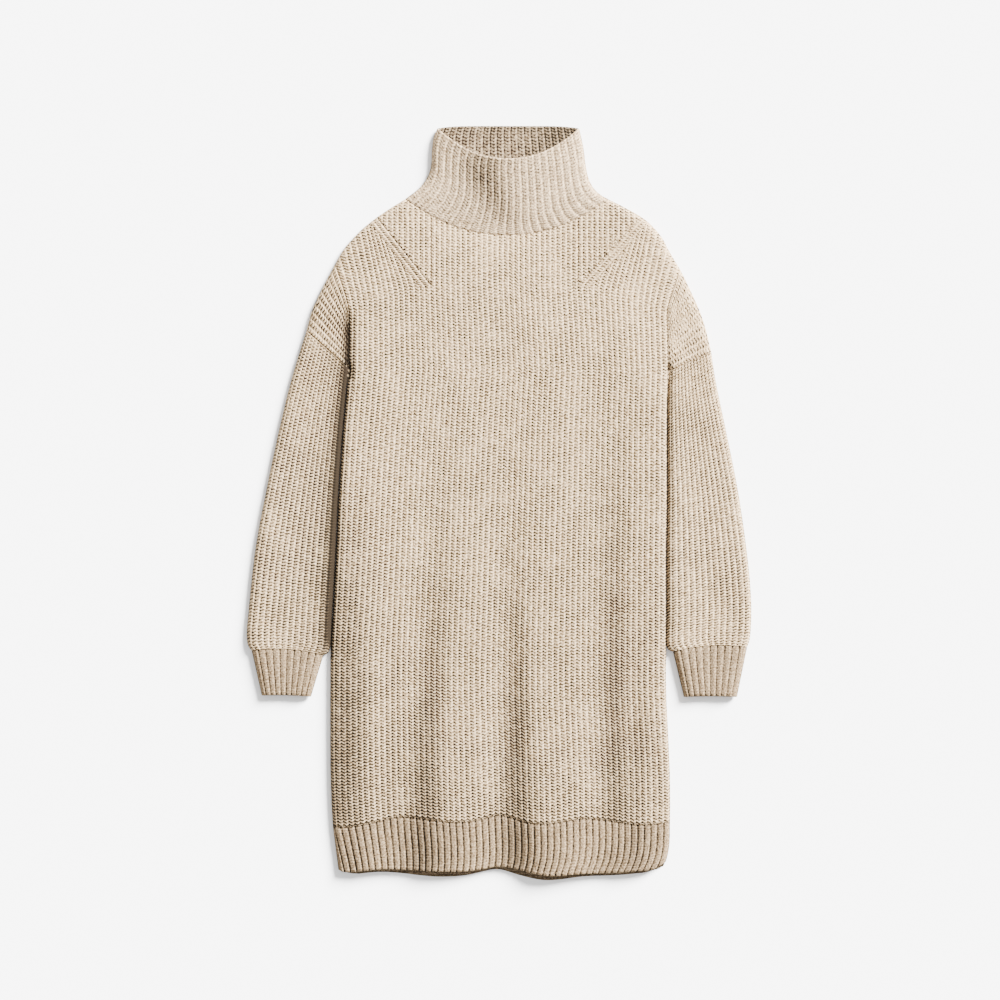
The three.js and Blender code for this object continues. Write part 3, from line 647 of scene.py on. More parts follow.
def makeFront(material):
    skin = Skin()
    stations = ribStations(body["ribs"], 4)
    stations = np.sort(np.r_[stations, body["edgeStep"], body["ribs"] - body["edgeStep"]])
    borderStart = body["shoulderRibs"] - body["borderRibs"]
    bounds = [0, borderStart, body["shoulderRibs"]]
    bounds += [body["ribs"] - place for place in bounds[::-1]]
    made = []
    reached = {"left": [], "right": []}
    shared = None
    for part in range(5):
        ribs = stations[(stations >= bounds[part]) & (stations <= bounds[part + 1])]
        side = "left" if part < 2 else "right"
        columns = []
        for rib in ribs:
            low = straightColumn(footAt(rib / body["ribs"]), rib)
            own = rib if side == "left" else body["ribs"] - rib
            if part == 2:
                share = (rib - ribs[0]) / (ribs[-1] - ribs[0])
                x = mixed(body["leftBranch"][0], body["rightBranch"][0], share)
                high = np.array([(x, body["leftBranch"][1]), (x, neckHeight(x, neck["frontDip"]))])
            elif part in (1, 3):
                high = borderColumn(own, side)
            else:
                high, onShoulder = bentColumn(own, side)
                reached[side].append(onShoulder)
            columns.append(np.vstack([low, high]))
        made.append(knitPatch(skin, columns, ribs, frontBake["patches"][part], shared=shared))
        top = body["leftBranch"][1] if part in (1, 2) else shoulderStart(borderStart, side)[1]
        below = columns[-1][columns[-1][:, 1] <= top + 0.1]
        shared = (made[-1][0][:, -1], np.linalg.norm(np.diff(below, axis=0), axis=1).sum())

    # Infill over the shaping line, where the ribs go on straight up to the shoulder and the neck.
    middleRibs = body["ribs"] - 2 * body["shoulderRibs"]
    pitch = (body["rightBranch"][0] - body["leftBranch"][0]) / middleRibs
    base = footAt(body["shoulderRibs"] / body["ribs"])
    fills = {}
    for side, sign in (("left", -1), ("right", 1)):
        branch, end = np.array(body[side + "Branch"]), np.array(body[side + "MarkEnd"])
        count = abs(end[0] - branch[0]) / pitch
        ribs = np.arange(int(count * 4) + 1) / 4
        ribs = np.r_[ribs, count] if ribs[-1] < count - 0.01 else ribs
        edge = shoulders[side]
        fill, starts = [], []
        for rib in ribs:
            x = branch[0] + sign * rib * pitch
            share = rib / count
            y0 = mixed(branch[1], end[1], share)
            dense = edge.at(np.linspace(0, 1, 400))
            onEdge = dense[np.argmin(np.abs(dense[:, 0] - x))][1]
            overNeck = x > neck["left"] if side == "left" else x < neck["right"]
            y1 = neckHeight(x, neck["frontDip"]) if overNeck else onEdge
            fill.append(np.array([(x, base), (x, max(y1, y0 + 0.01))]))
            starts.append(y0 - base)
        if side == "left":
            fill, starts = fill[::-1], starts[::-1]
            ribNumbers = (body["shoulderRibs"] - ribs)[::-1]
        else:
            ribNumbers = body["ribs"] - body["shoulderRibs"] + ribs
        fills[side] = knitPatch(skin, fill, ribNumbers, frontBake["fill"][side], np.array(starts))

    # Wedges between the crease down the armhole and the sleeve, where the ribs run along the seam.
    wedges = {}
    for side in ("left", "right"):
        crease = np.array(body[side + "CreaseTop"])
        low = underarmLeft if side == "left" else underarmRight
        edge = shoulders[side]
        first, _ = bentColumn(0, side)
        way = np.linspace(0, 1, 14)[:, None]
        first = first[(way[:, 0] * (len(first) - 1)).round().astype(int)]
        bow = first - mixed(first[0], first[-1], way)
        high = edge.shareNear(first[-1])
        ribs = ribStations(body["creaseRibs"], 4)
        lines = []
        for share in ribs / ribs[-1]:
            lines.append(mixed(mixed(low, crease, share), edge.at(high * share), way) + bow * share)
        wedges[side] = knitPatch(skin, lines, ribs, frontBake["wedge"][side], 0.0, side == "right")

    # The plain inner face, the wall's thickness in from the edges, with painted shade over it.
    lowRows = np.linspace(0, 1, 26)[:-1] * underarmShare
    rowShares = np.r_[lowRows, np.linspace(underarmShare, 1, 12)]
    shares = np.linspace(0, 1, 49)
    plan = np.array([[panelPoint(u, w, footAt(u), neck["frontDip"]) for u in shares] for w in rowShares])
    inX = mixed(plan[..., 0].mean(1, keepdims=True), plan[..., 0], pinch)
    inY = plan[..., 1]
    d = np.maximum(cloth["wall"], distanceTo(bodyEdges, inX, inY))
    inner = skin.add(inX, inY, upperInside(d) + halfGap + foldLift(inX, inY, d), 0.3)
    skin.grid(inner, plan / cloth["plainRib"], frontBake["inside"], True)

    # Rims and the joins between the patches.
    seams = thinBoxes(*frontBake["seams"])
    bottom = np.concatenate([made[0][1]] + [patch[1][1:] for patch in made[1:]])
    skin.zipUp(bottom, inner[0], next(seams), True)
    points = np.vstack(skin.points)
    outer = {"left": made[0], "right": made[4]}
    borders = {"left": made[1], "right": made[3]}
    top = {}
    for side in ("left", "right"):
        isLeft = side == "left"
        ids, _, tails = outer[side]
        column = onlyNew(ids[:, 0] if isLeft else ids[:, -1])
        armHeight = (underarmLeft if isLeft else underarmRight)[1]
        low, high = column[points[column, 1] <= armHeight], column[points[column, 1] > armHeight]
        wedge = wedges[side]
        rim = np.r_[low, onlyNew(wedge[0][:, 0])]
        skin.zipUp(rim, inner[:, 0] if isLeft else inner[:, -1], next(seams), not isLeft)
        skin.zipUp(high, np.r_[wedge[1], onlyNew(wedge[0][:, -1])[1:]], next(seams), not isLeft)
        # The ribs that end at the border of the shaping line.
        onShoulder = np.array(reached[side])
        edgeTails = tails[onShoulder]
        if isLeft:
            lineTails = tails[len(edgeTails) - 1 :][::-1]
        else:
            lineTails = tails[: np.argmax(onShoulder) + 1]
        border = borders[side][0]
        beside = onlyNew(border[:, 0] if isLeft else border[:, -1])
        beside = beside[points[beside, 1] >= points[lineTails[0], 1] - 0.5]
        skin.zipUp(onlyNew(lineTails), beside, next(seams), isLeft)
        # The shaping line itself, and the foot of the infill beside the straight ribs.
        fillIds, fillLead, _ = fills[side]
        line = fillLead[::-1] if isLeft else fillLead
        own = fillIds[:, -1] if isLeft else fillIds[:, 0]
        bent = border[:, -1] if isLeft else border[:, 0]
        straight = made[2][0][:, 0] if isLeft else made[2][0][:, -1]
        for ids, other, turned in ((bent, line, isLeft), (straight, onlyNew(own), not isLeft)):
            column = onlyNew(ids)
            upper = column[np.argmax(points[column, 1] >= body["leftBranch"][1] - 0.7) :]
            skin.zipUp(upper, other, next(seams), turned)
        top[side] = edgeTails
    row = [wedges["left"][2], top["left"], borders["left"][2], fills["left"][2], made[2][2]]
    row += [fills["right"][2], borders["right"][2], top["right"], wedges["right"][2][::-1]]
    skin.zipUp(onlyNew(np.concatenate(row)), inner[-1], next(seams))
    return skin.build("knittedFront", material)


# The back and its hem: where they join, and the shares of the width at which they have points.
backJoin = -416
backShares = np.sort(np.r_[np.linspace(0, 1, 73), (0.001, 0.004, 0.01, 0.99, 0.996, 0.999)])


def makeBack(material):
    skin = Skin()
    rowShares = np.r_[np.linspace(0, underarmShare, 40)[:-1], np.linspace(underarmShare, 1, 22)]
    foot = backJoin + halfGap
    plan = np.array([[panelPoint(u, w, foot, neck["backDip"]) for u in backShares] for w in rowShares])
    x, y = plan[..., 0], plan[..., 1]
    d = distanceTo(bodyEdges, x, y)
    split = halfGap * (1 - np.clip(d / cloth["edgeRound"], 0, 1))
    under = skin.add(x, y, np.maximum(0, lowerOutside(d) - split))
    skin.grid(under, plan / cloth["plainRib"], (0, 0, 0.6, 0.93), True)
    inX = mixed(x.mean(1, keepdims=True), x, pinch)
    inD = np.maximum(cloth["wall"], distanceTo(bodyEdges, inX, y))
    upper = skin.add(inX, y, lowerInside(inD) - halfGap)
    skin.grid(upper, plan / cloth["plainRib"], (0.61, 0, 1, 0.93))
    closeEdges(skin, under, upper, thinBoxes(0, 0.94, 1, 0.99, 4))
    return skin.build("knittedBack", material)


hem = {
    "ribs": 52,
    "course": 3.6,
    "valley": -0.75,
    "leg": 1.3,
    "middle": 1.1,
    "relief": 0.1,
    "height": 65,
    "rim": 3.0,  # how wide the lower edge rolls over
    "rimDrop": 1.6,
    "seamDip": 0.9,
    "cornerLean": 7,  # how far the upper left corner stands out
    "backReach": 4.0,  # how far the back's lower edge shows below the front's
    "backWaves": ((0.3, 0.11, 4.5), (0.61, 0.11, 4.5), (0.47, 0.05, -2)),  # middle, width, reach
}


# Painted shade and light on the hem, on the slopes of its folds and darker overall, in the columns of the
# waves.
hemPaintedShade = [
    (0, -450, 120, 900, 0.14, 0.0),
    (-98, -450, 60, 19, 0.4, 0.0),
    (-62, -450, 60, 14, 0.12, 0.0),
    (21, -450, 60, 16, 0.42, 0.0),
    (-18, -450, 60, 20, -0.16, 0.0),
    (104, -450, 60, 24, -0.12, 0.0),
    (178, -450, 60, 12, 0.2, 0.0),
    (-190, -450, 60, 16, 0.14, 0.0),
]


def makeHem(material):
    skin = Skin()
    stations = ribStations(hem["ribs"], 6)
    stations = np.sort(np.r_[stations, 0.04, 0.12, hem["ribs"] - 0.04, hem["ribs"] - 0.12])
    u = stations / hem["ribs"]
    top = hemJoinAt(mixed(*hemEnds, u)) - halfGap
    low = hemEdgeAt(mixed(leftSide(-hemSides), rightSide(-hemSides), u))
    v = np.r_[np.linspace(0, 1, 38)[:-1] * 0.955, np.linspace(0.955, 1, 7)][:, None]
    y = mixed(top, low, v)
    lean = hem["cornerLean"] * (1 - v) * bump(u, 0.12)
    x = mixed(leftSide(y), rightSide(y), u)
    x = x - lean * ease(u / 0.02)
    d = distanceTo(bodyEdges, x, y)
    rise = upperOutside(d) + halfGap + foldLift(x, y, d)
    rise = rise + waveHeight(x, y, frontWaves) * ease(d / cloth["foldStart"])
    rib = ribHeight(stations, hem) + hem["relief"] * alternate(np.arange(len(v)))[:, None]
    fromEdge = (1 - v) * (top - low)
    roll = hem["rimDrop"] * (1 - quarterRound(fromEdge / hem["rim"]))
    seam = hem["seamDip"] * bump(v * (top - low), 2.0)
    rib = ease(d / cloth["knitStart"]) * rib * mixed(1, 0.4, fromEdge < 0.5)
    z = rise + rib - roll * ease(d / 10) - seam
    shade = waveHeight(x, y, hemPaintedShade) + 0.25 * bump(v * (top - low), 1.8)
    outer = skin.add(x, y, z + chance.normal(0, 0.05, x.shape), shade)
    place = np.stack(np.broadcast_arrays(stations, v * hem["height"] / hem["course"]), -1)
    skin.grid(outer, place, (0, 0, 1, 0.6), True)
    shares = np.linspace(0, 1, 61)
    rows = np.linspace(0, 1, 9)[:, None]
    inTop = hemJoinAt(mixed(*hemEnds, shares)) - halfGap
    inLow = hemEdgeAt(mixed(leftSide(-hemSides), rightSide(-hemSides), shares))
    iy = mixed(inTop, inLow, rows)
    ix = mixed(leftSide(iy) + cloth["wall"], rightSide(iy) - cloth["wall"], shares)
    inD = np.maximum(cloth["wall"], distanceTo(bodyEdges, ix, iy))
    lift = upperInside(inD) + halfGap + foldLift(ix, iy, inD)
    inner = skin.add(ix, iy, lift + 0.6 * (rows == 1) * ease(inD / 20))
    skin.grid(inner, np.stack([ix, iy], -1) / cloth["plainRib"], (0, 0.62, 1, 0.9))
    boxes = [(0, 0.91, 1, 0.93), (0, 0.94, 1, 0.96), (0, 0.97, 0.4, 0.98), (0.5, 0.97, 0.9, 0.98)]
    closeEdges(skin, outer, inner, iter(boxes))
    return skin.build("ribbedHemFront", material)


def makeHemBack(material):
    skin = Skin()
    shares = backShares
    v = np.linspace(0, 1, 8)[:, None]
    reach = hem["backReach"]
    for middle, width, more in hem["backWaves"]:
        reach = reach + more * bump(shares - middle, width)
    low = hemEdgeAt(mixed(-208, 209, shares)) - reach * ease(np.minimum(shares, 1 - shares) / 0.06)
    y = mixed(backJoin - halfGap, low, v)
    x = mixed(leftSide(y), rightSide(y), shares)
    d = distanceTo(bodyEdges, x, y)
    split = halfGap * (1 - np.clip(d / cloth["edgeRound"], 0, 1))
    under = skin.add(x, y, np.maximum(0, lowerOutside(d) - split))
    place = np.stack([x / 8, y / 4], -1)
    plain = np.stack([0 * x + 0.5, y / 4], -1)
    skin.grid(under, place, (0, 0, 1, 0.4))
    ix = mixed(leftSide(y) + cloth["wall"], rightSide(y) - cloth["wall"], shares)
    inD = np.maximum(cloth["wall"], distanceTo(bodyEdges, ix, y))
    # The band grows thin toward its lower edge, where the front's waves stand clear of it.
    height = np.minimum(lowerInside(inD) - halfGap, mixed(9, 0.8, v**6))
    # Painted shade on the strip that shows below the front hem, darker toward its lower edge, for the
    # shadow under the lifted front.
    upper = skin.add(ix, y, height, 0.2 + 0.2 * (v > 0.8))
    skin.grid(upper, plain, (0, 0.42, 1, 0.8), True)
    boxes = [(0, 0.82, 1, 0.84), (0, 0.85, 1, 0.87), (0, 0.88, 0.4, 0.89), (0.5, 0.88, 0.9, 0.89)]
    closeEdges(skin, under, upper, iter(boxes), True)
    return skin.build("ribbedHemBack", material)


# Each row of the waves has the columns of the front's waves.
sleeveKnit = {
    "ribs": 14,
    "length": 400,
    "shape": knit,
    "rimDrop": 0,
    "seamDip": 0.1,
    "arch": 5.0,
    "clearance": 0.5,
    "gapShare": 0.3,  # how far the top of a sleeve is drawn off its armhole, in seam gaps
    "innerTurn": {"left": (-190, -228, -201), "right": (-190, 226, -196)},
    "bodyShade": {"left": (10.0, 0.76), "right": (3.5, 0.2)},
    # Painted shade: the left sleeve darker and the right a little lighter, as the light falls from the
    # right.
    "sideShade": {"left": 0.1, "right": -0.01},
    "waves": {
        "left": [
            (-262, 90, 30, 24, 1.2, 0.3),
            (-275, 10, 40, 20, -1.2, 0.25),
            (-268, -80, 34, 30, 1.0, 0.2),
            (-292, -140, 30, 22, -1.0, 0.1),
            (-255, 150, 26, 24, -0.9, 0.4),
        ],
        "right": [
            (262, 110, 34, 26, 1.1, -0.3),
            (285, 30, 36, 20, -1.1, -0.2),
            (268, -60, 40, 26, 0.9, -0.2),
            (290, -130, 30, 24, -1.1, -0.1),
            (300, -20, 30, 18, 0.8, -0.1),
        ],
    },
}


def innerEdge(side):
    # The inner edge of a sleeve, down the side of the body and in to the cuff.
    read = leftSide if side == "left" else rightSide
    away = -1 if side == "left" else 1
    low = underarmLeft if side == "left" else underarmRight
    turnY, turnX, endY = sleeveKnit["innerTurn"][side]
    rows = []
    for i in range(10):
        y = mixed(low[1], turnY, i / 9)
        rows.append((float(read(y)) + away * sleeveKnit["clearance"] * min(1, 0.35 + i), y))
    rows.append((mixed(rows[-1][0], turnX, 0.35), mixed(turnY, endY, 0.7)))
    rows.append((turnX, endY))
    return PlanCurve(rows)


def tubePiece(name, material, sizes, waves, edgeAt, archAt, shadeAt):
    # A flattened tube: ribbed over the top, plain underneath, with a plain inner face.
    skin = Skin()
    ribs, shape, length = sizes["ribs"], sizes["shape"], sizes["length"]
    stations = ribStations(ribs, 4)
    stations = np.sort(np.r_[stations, 0.05, 0.14, ribs - 0.05, ribs - 0.14])
    u = stations / ribs
    course = shape["course"]
    rows = np.arange(0, int(2 * length / course) + 1)[:, None]
    side = np.abs(2 * (stations % 1) - 1)
    slant = shape["slant"] * (side - 0.5) * course / length
    v = rows / rows[-1]
    v = np.clip(v - slant * ease(v * 12) * ease((1 - v) * 12), 0, 1)

    def ring(across, v):
        a, b = edgeAt(v)
        x = mixed(a[..., 0], b[..., 0], across)
        y = mixed(a[..., 1], b[..., 1], across) + archAt(v) * 4 * across * (1 - across)
        width = np.linalg.norm(b - a, axis=-1)
        return x, y, np.minimum(across, 1 - across) * width

    x, y, d = ring(np.broadcast_to(u, v.shape), v)
    relief = shape["relief"] * alternate(rows)
    ribbed = ribHeight(stations, shape) + relief + chance.normal(0, 0.06, x.shape)
    z = upperOutside(d) + ease(d / cloth["knitStart"]) * ribbed + waveHeight(x, y, waves) * ease(d / 20)
    roll = sizes["rimDrop"] * (1 - quarterRound((1 - v) * length / cloth["wall"]))
    seam = sizes["seamDip"] * bump(v * length, 2.2)
    z = z - roll * ease(d / 8) - seam
    top = skin.add(x, y, z, shadeAt(u, d, y) + 0.3 * seam)
    place = np.stack([np.broadcast_to(stations, x.shape), v * length / course], -1)
    skin.grid(top, place, (0, 0, 0.6, 0.9), True)
    underShares = np.sort(np.r_[0, 0.01, 0.03, 0.06, np.linspace(0.1, 0.9, 9), 0.94, 0.97, 0.99, 1])
    plainRows = np.linspace(0, 1, 25)[:, None]
    ux, uy, ud = ring(*np.broadcast_arrays(underShares, plainRows))
    under = skin.add(ux, uy, lowerOutside(ud))
    skin.grid(under, np.stack([ux, uy], -1) / cloth["plainRib"], (0.61, 0, 0.8, 0.9))
    # The inner face starts a wall's thickness in, on a tube 90 mm wide.
    wallShare = cloth["wall"] / 90
    ox, oy, od = ring(*np.broadcast_arrays(mixed(wallShare, 1 - wallShare, underShares), plainRows))
    od = np.maximum(od, cloth["wall"])
    upper = skin.add(ox, oy, upperInside(od) + np.minimum(0, waveHeight(ox, oy, waves) * ease(od / 20)))
    skin.grid(upper, np.stack([ox, oy], -1) / cloth["plainRib"], (0.81, 0, 0.9, 0.9))
    lower = skin.add(ox, oy, lowerInside(od))
    skin.grid(lower, np.stack([ox, oy], -1) / cloth["plainRib"], (0.91, 0, 1, 0.9), True)
    seams = thinBoxes(0, 0.91, 1, 0.99, 8)
    skin.zipUp(onlyNew(top[:, 0]), under[:, 0], next(seams), True)
    skin.zipUp(onlyNew(top[:, -1]), under[:, -1], next(seams))
    skin.zipUp(upper[:, 0], lower[:, 0], next(seams))
    skin.zipUp(upper[:, -1], lower[:, -1], next(seams), True)
    skin.zipUp(top[0], upper[0], next(seams))
    skin.zipUp(top[-1], upper[-1], next(seams), True)
    skin.zipUp(under[0], lower[0], next(seams), True)
    skin.zipUp(under[-1], lower[-1], next(seams))
    return skin.build(name, material)


def makeSleeve(side, material):
    outer = PlanCurve(sleeveOuterLeft if side == "left" else sleeveOuterRight)
    inner = innerEdge(side)
    away = -1 if side == "left" else 1
    gap = np.array((away, -1)) * cloth["seamGap"] * sleeveKnit["gapShare"]

    def edgeAt(v):
        a, b = outer.at(v), inner.at(v)
        start = (v <= 0)[..., None] * gap
        a, b = a + start, b + start
        return (a, b) if side == "left" else (b, a)

    def shadeAt(u, d, y):
        # The side next to the body lies in its shade.
        width, dark = sleeveKnit["bodyShade"][side]
        nearBody = u > 0.5 if side == "left" else u < 0.5
        deep = dark * bump(d, width) + 0.5 * dark * bump(d, 2.2 * width)
        return nearBody * deep * ease((y + 215) / 40) + sleeveKnit["sideShade"][side]

    def archAt(v):
        return sleeveKnit["arch"] * ease((v - 0.8) / 0.2)

    name = "knittedSleeve" + side.capitalize()
    return tubePiece(name, material, sleeveKnit, sleeveKnit["waves"][side], edgeAt, archAt, shadeAt)


# The corners of a cuff: outer and inner at the seam, then at the end.
cuffKnit = {
    "ribs": 10,
    "length": 62,
    "rimDrop": 1.4,
    "seamDip": 0.5,
    "left": ((-321, -195), (-228, -201), (-308, -253), (-244, -254.5)),
    "right": ((322, -191), (226, -196), (309, -255), (240, -255)),
    "arch": (5.0, 1.0),
    # Painted shade: the left cuff darker, as the light falls from the right.
    "sideShade": {"left": 0.06, "right": 0.0},
    "shape": {"course": 3.6, "valley": -0.75, "leg": 1.3, "middle": 1.1, "relief": 0.1, "slant": 0.3},
}


def makeCuff(side, material):
    seamOuter, seamInner, endOuter, endInner = [np.array(p, float) for p in cuffKnit[side]]

    def edgeAt(v):
        v = np.asarray(v)[..., None]
        drop = np.array((0, cloth["seamGap"])) * (1 - v)
        a = mixed(seamOuter, endOuter, v) - drop
        b = mixed(seamInner, endInner, v) - drop
        return (a, b) if side == "left" else (b, a)

    def archAt(v):
        return mixed(*cuffKnit["arch"], v)

    def shadeAt(u, d, y):
        return cuffKnit["sideShade"][side]

    return tubePiece("ribbedCuff" + side.capitalize(), material, cuffKnit, [], edgeAt, archAt, shadeAt)


collar = {
    "ribs": 22,
    "course": 3.8,
    "height": 100,
    "width": 200,
    "painted": 8.0,  # one rib of the painted knit on its plain faces
    "frontMouthDip": 41,
    "backMouthRise": 3.5,
    "rimDrop": 1.5,
    "rightTone": 0.06,  # how much lighter the side toward the light is
    "mouthLift": 12,
    "fold": (14, 3.5, 20, 42, -0.25),
    "foldShade": (-24, 420, 34, 18, 0.42, -0.35),
    "insideShade": (0.42, 0.22, 20, 80),  # all over, and more toward the right end
    "shape": {"valley": 0.1, "leg": 1.25, "middle": 1.1, "relief": 0.1},
}


def makeCollar(material):
    skin = Skin()
    leftEdge = PlanCurve([(left, y) for y, left, right in collarSides])
    rightEdge = PlanCurve([(right, y) for y, left, right in collarSides])

    def ring(across, v, isFront):
        left, right = leftEdge.at(v), rightEdge.at(v)
        s = 2 * across - 1
        x = mixed(left[..., 0], right[..., 0], across)
        y = mixed(left[..., 1], right[..., 1], across) + cloth["seamGap"] * (1 - v)
        if isFront:
            dip, power = mixed(neck["frontDip"], collar["frontMouthDip"], v), neck["roundness"]
        else:
            dip = mixed(neck["backDip"], -collar["backMouthRise"], ease(v))
            power = mixed(neck["roundness"], 6, ease(v))
        y = y - dip * (1 - np.abs(s) ** power)
        width = np.linalg.norm(right - left, axis=-1)
        d = np.minimum(across, 1 - across) * width
        place, height, near, far, lean = collar["fold"]
        offset = x - place - lean * (y - neck["height"])
        fold = height * bump(offset, np.where(offset < 0, near, far)) * ease((v - 0.12) / 0.4)
        return x, y, d, collar["mouthLift"] * v**1.4 * (1 - s * s) + fold

    stations = ribStations(collar["ribs"], 6)
    stations = np.sort(np.r_[stations, 0.03, 0.1, collar["ribs"] - 0.03, collar["ribs"] - 0.1])
    u = stations / collar["ribs"]
    v = np.r_[np.linspace(0, 1, 52)[:-1] * 0.97, np.linspace(0.97, 1, 5)][:, None]
    grid = np.broadcast_arrays(u, v)
    x, y, d, lift = ring(grid[0], grid[1], True)
    relief = collar["shape"]["relief"] * alternate(np.arange(len(v)))[:, None]
    ribs = ribHeight(stations, collar["shape"]) + relief + chance.normal(0, 0.05, x.shape)
    height = collar["height"]
    roll = collar["rimDrop"] * (1 - quarterRound((1 - v) * height / cloth["wall"]))
    z = upperOutside(d) + lift + ease(d / cloth["knitStart"]) * ribs
    z = z - roll * ease(d / 8) - 0.3 * bump(v * height, 2.0)
    fx, fy, reach, width, dark, lean = collar["foldShade"]
    shade = dark * bump(y - fy, reach) * bump(x - fx - lean * (y - fy), width)
    shade = shade - collar["rightTone"] * ease((x - 20) / 50)
    top = skin.add(x, y, z, shade)
    place = np.stack([grid[0] * collar["ribs"], grid[1] * height / collar["course"]], -1)
    skin.grid(top, place, (0, 0, 1, 0.5))
    shares = np.sort(np.r_[0, 0.004, 0.012, 0.03, np.linspace(0.05, 0.95, 31), 0.97, 0.988, 0.996, 1])
    rows = np.linspace(0, 1, 13)[:, None]
    grid = np.broadcast_arrays(shares, rows)
    ux, uy, ud, _ = ring(grid[0], grid[1], False)
    under = skin.add(ux, uy, lowerOutside(ud))
    skin.grid(under, np.stack([ux, uy], -1) / collar["painted"], (0, 0.51, 1, 0.6), True)
    wallShare = cloth["wall"] / collar["width"]
    over = mixed(wallShare, 1 - wallShare, shares)
    grid = np.broadcast_arrays(over, rows)
    ox, oy, od, oLift = ring(grid[0], grid[1], True)
    backY = ring(grid[0], grid[1], False)[1]
    turn = bump(np.minimum(over, 1 - over), 0.02)
    oy = mixed(oy, backY, turn)
    upper = skin.add(ox, oy, upperInside(np.maximum(od, cloth["wall"])) + oLift)
    skin.grid(upper, np.stack([ox, oy], -1) / collar["painted"], (0, 0.61, 1, 0.7), True)
    # The inside of the back shows through the mouth, so it has its ribs.
    deep = ribStations(collar["ribs"] - 1, 6)
    inU = mixed(wallShare, 1 - wallShare, deep / deep[-1])
    inV = np.linspace(0, 1, 44)[:, None]
    grid = np.broadcast_arrays(inU, inV)
    bx, by, bd, _ = ring(grid[0], grid[1], False)
    ribs = (ribHeight(deep, collar["shape"]) - 1.3) * 0.8 * ease(bd / 12)
    plain, more, begin, span = collar["insideShade"]
    shade = plain + more * ease((bx - begin) / span) + 0.12 * ease((by - 470) / 25)
    lower = skin.add(bx, by, np.maximum(0.6, lowerInside(np.maximum(bd, cloth["wall"])) + ribs), shade)
    place = np.stack(np.broadcast_arrays(deep, inV * height / collar["course"]), -1)
    skin.grid(lower, place, (0, 0.71, 1, 0.95))
    seams = thinBoxes(0, 0.955, 1, 0.995, 8)
    skin.zipUp(top[:, 0], under[:, 0], next(seams))
    skin.zipUp(top[:, -1], under[:, -1], next(seams), True)
    skin.zipUp(upper[:, 0], lower[:, 0], next(seams), True)
    skin.zipUp(upper[:, -1], lower[:, -1], next(seams))
    skin.zipUp(top[0], upper[0], next(seams), True)
    skin.zipUp(top[-1], upper[-1], next(seams))
    skin.zipUp(under[0], lower[0], next(seams))
    skin.zipUp(under[-1], lower[-1], next(seams), True)
    return skin.build("ribbedCollar", material)


class Value:
    # A socket that takes part in sums, so that shader maths reads as it is written.
    def __init__(self, paint, socket):
        self.paint = paint
        self.socket = socket

    def maths(self, operation, other=0.0):
        return self.paint.node("ShaderNodeMath", {"operation": operation}, {0: self, 1: other})

    def __add__(self, other):
        return self.maths("ADD", other)

    def __mul__(self, other):
        return self.maths("MULTIPLY", other)

    def __sub__(self, other):
        return self.maths("SUBTRACT", other)

    def __rsub__(self, other):
        return self.paint.node("ShaderNodeMath", {"operation": "SUBTRACT"}, {0: other, 1: self})

    def __mod__(self, other):
        return self.maths("FLOORED_MODULO", other)

    def __abs__(self):
        return self.maths("ABSOLUTE")

    __radd__ = __add__
    __rmul__ = __mul__


class Paint:
    # A material and the one way its nodes are added.
    def __init__(self, name):
        self.material = bpy.data.materials.new(name)
        self.material.use_nodes = True
        self.nodes = self.material.node_tree.nodes
        self.links = self.material.node_tree.links
        self.surface = self.nodes["Principled BSDF"]

    def node(self, kind, settings=None, values=None, output=0):
        made = self.nodes.new(kind)
        for key, value in (settings or {}).items():
            setattr(made, key, value)
        self.fill(made, values or {})
        return Value(self, made.outputs[output])

    def fill(self, made, values):
        for key, value in values.items():
            if isinstance(value, Value):
                self.links.new(value.socket, made.inputs[key])
            else:
                made.inputs[key].default_value = value

    def blend(self, share, a, b, how="MIX"):
        settings = {"data_type": "RGBA", "blend_type": how}
        return self.node("ShaderNodeMix", settings, {0: share, 6: a, 7: b}, output=2)

    def steps(self, value, low, high):
        return self.node(
            "ShaderNodeMapRange",
            {"interpolation_type": "SMOOTHSTEP"},
            {"Value": value, "From Min": low, "From Max": high},
        )


# Each yarn's dark colour is painted shade, laid into the gaps between ribs and stitches and into the
# painted creases.
yarns = {
    "body": {
        "light": (0.25, 0.162, 0.08, 1),
        "dark": (0.011, 0.0072, 0.0038, 1),
        "speck": (0.74, 0.565, 0.355, 1),
        "valley": 0.2,
        "hole": 0.95,
        "middle": 0.0,
        "middleHole": 0.55,
        "groove": 0.45,
        "lean": 0.5,  # how much darker the left legs are: painted shade, as the light comes from the upper right
        "thin": 0.35,  # where the dark of a valley begins
        "fleck": 0.6,
        "slant": 0.5,
    },
    "rib": {
        "light": (0.095, 0.06, 0.03, 1),
        "dark": (0.01, 0.0065, 0.0035, 1),
        "speck": (0.34, 0.25, 0.153, 1),
        "valley": 0.72,
        "hole": 0.15,
        "middle": 0.12,
        "middleHole": 0.16,
        "groove": 0.08,
        "lean": 0.0,
        "thin": 0.62,
        "fleck": 0.7,
        "slant": 0.3,
    },
    "collar": {
        "light": (0.2, 0.132, 0.071, 1),
        "dark": (0.01, 0.0065, 0.0035, 1),
        "speck": (0.7, 0.53, 0.335, 1),
        "valley": 0.38,
        "hole": 0.22,
        "middle": 0.2,
        "middleHole": 0.22,
        "groove": 0.3,
        "lean": 0.3,
        "thin": 0.6,
        "fleck": 0.6,
        "slant": 0.5,
    },
}


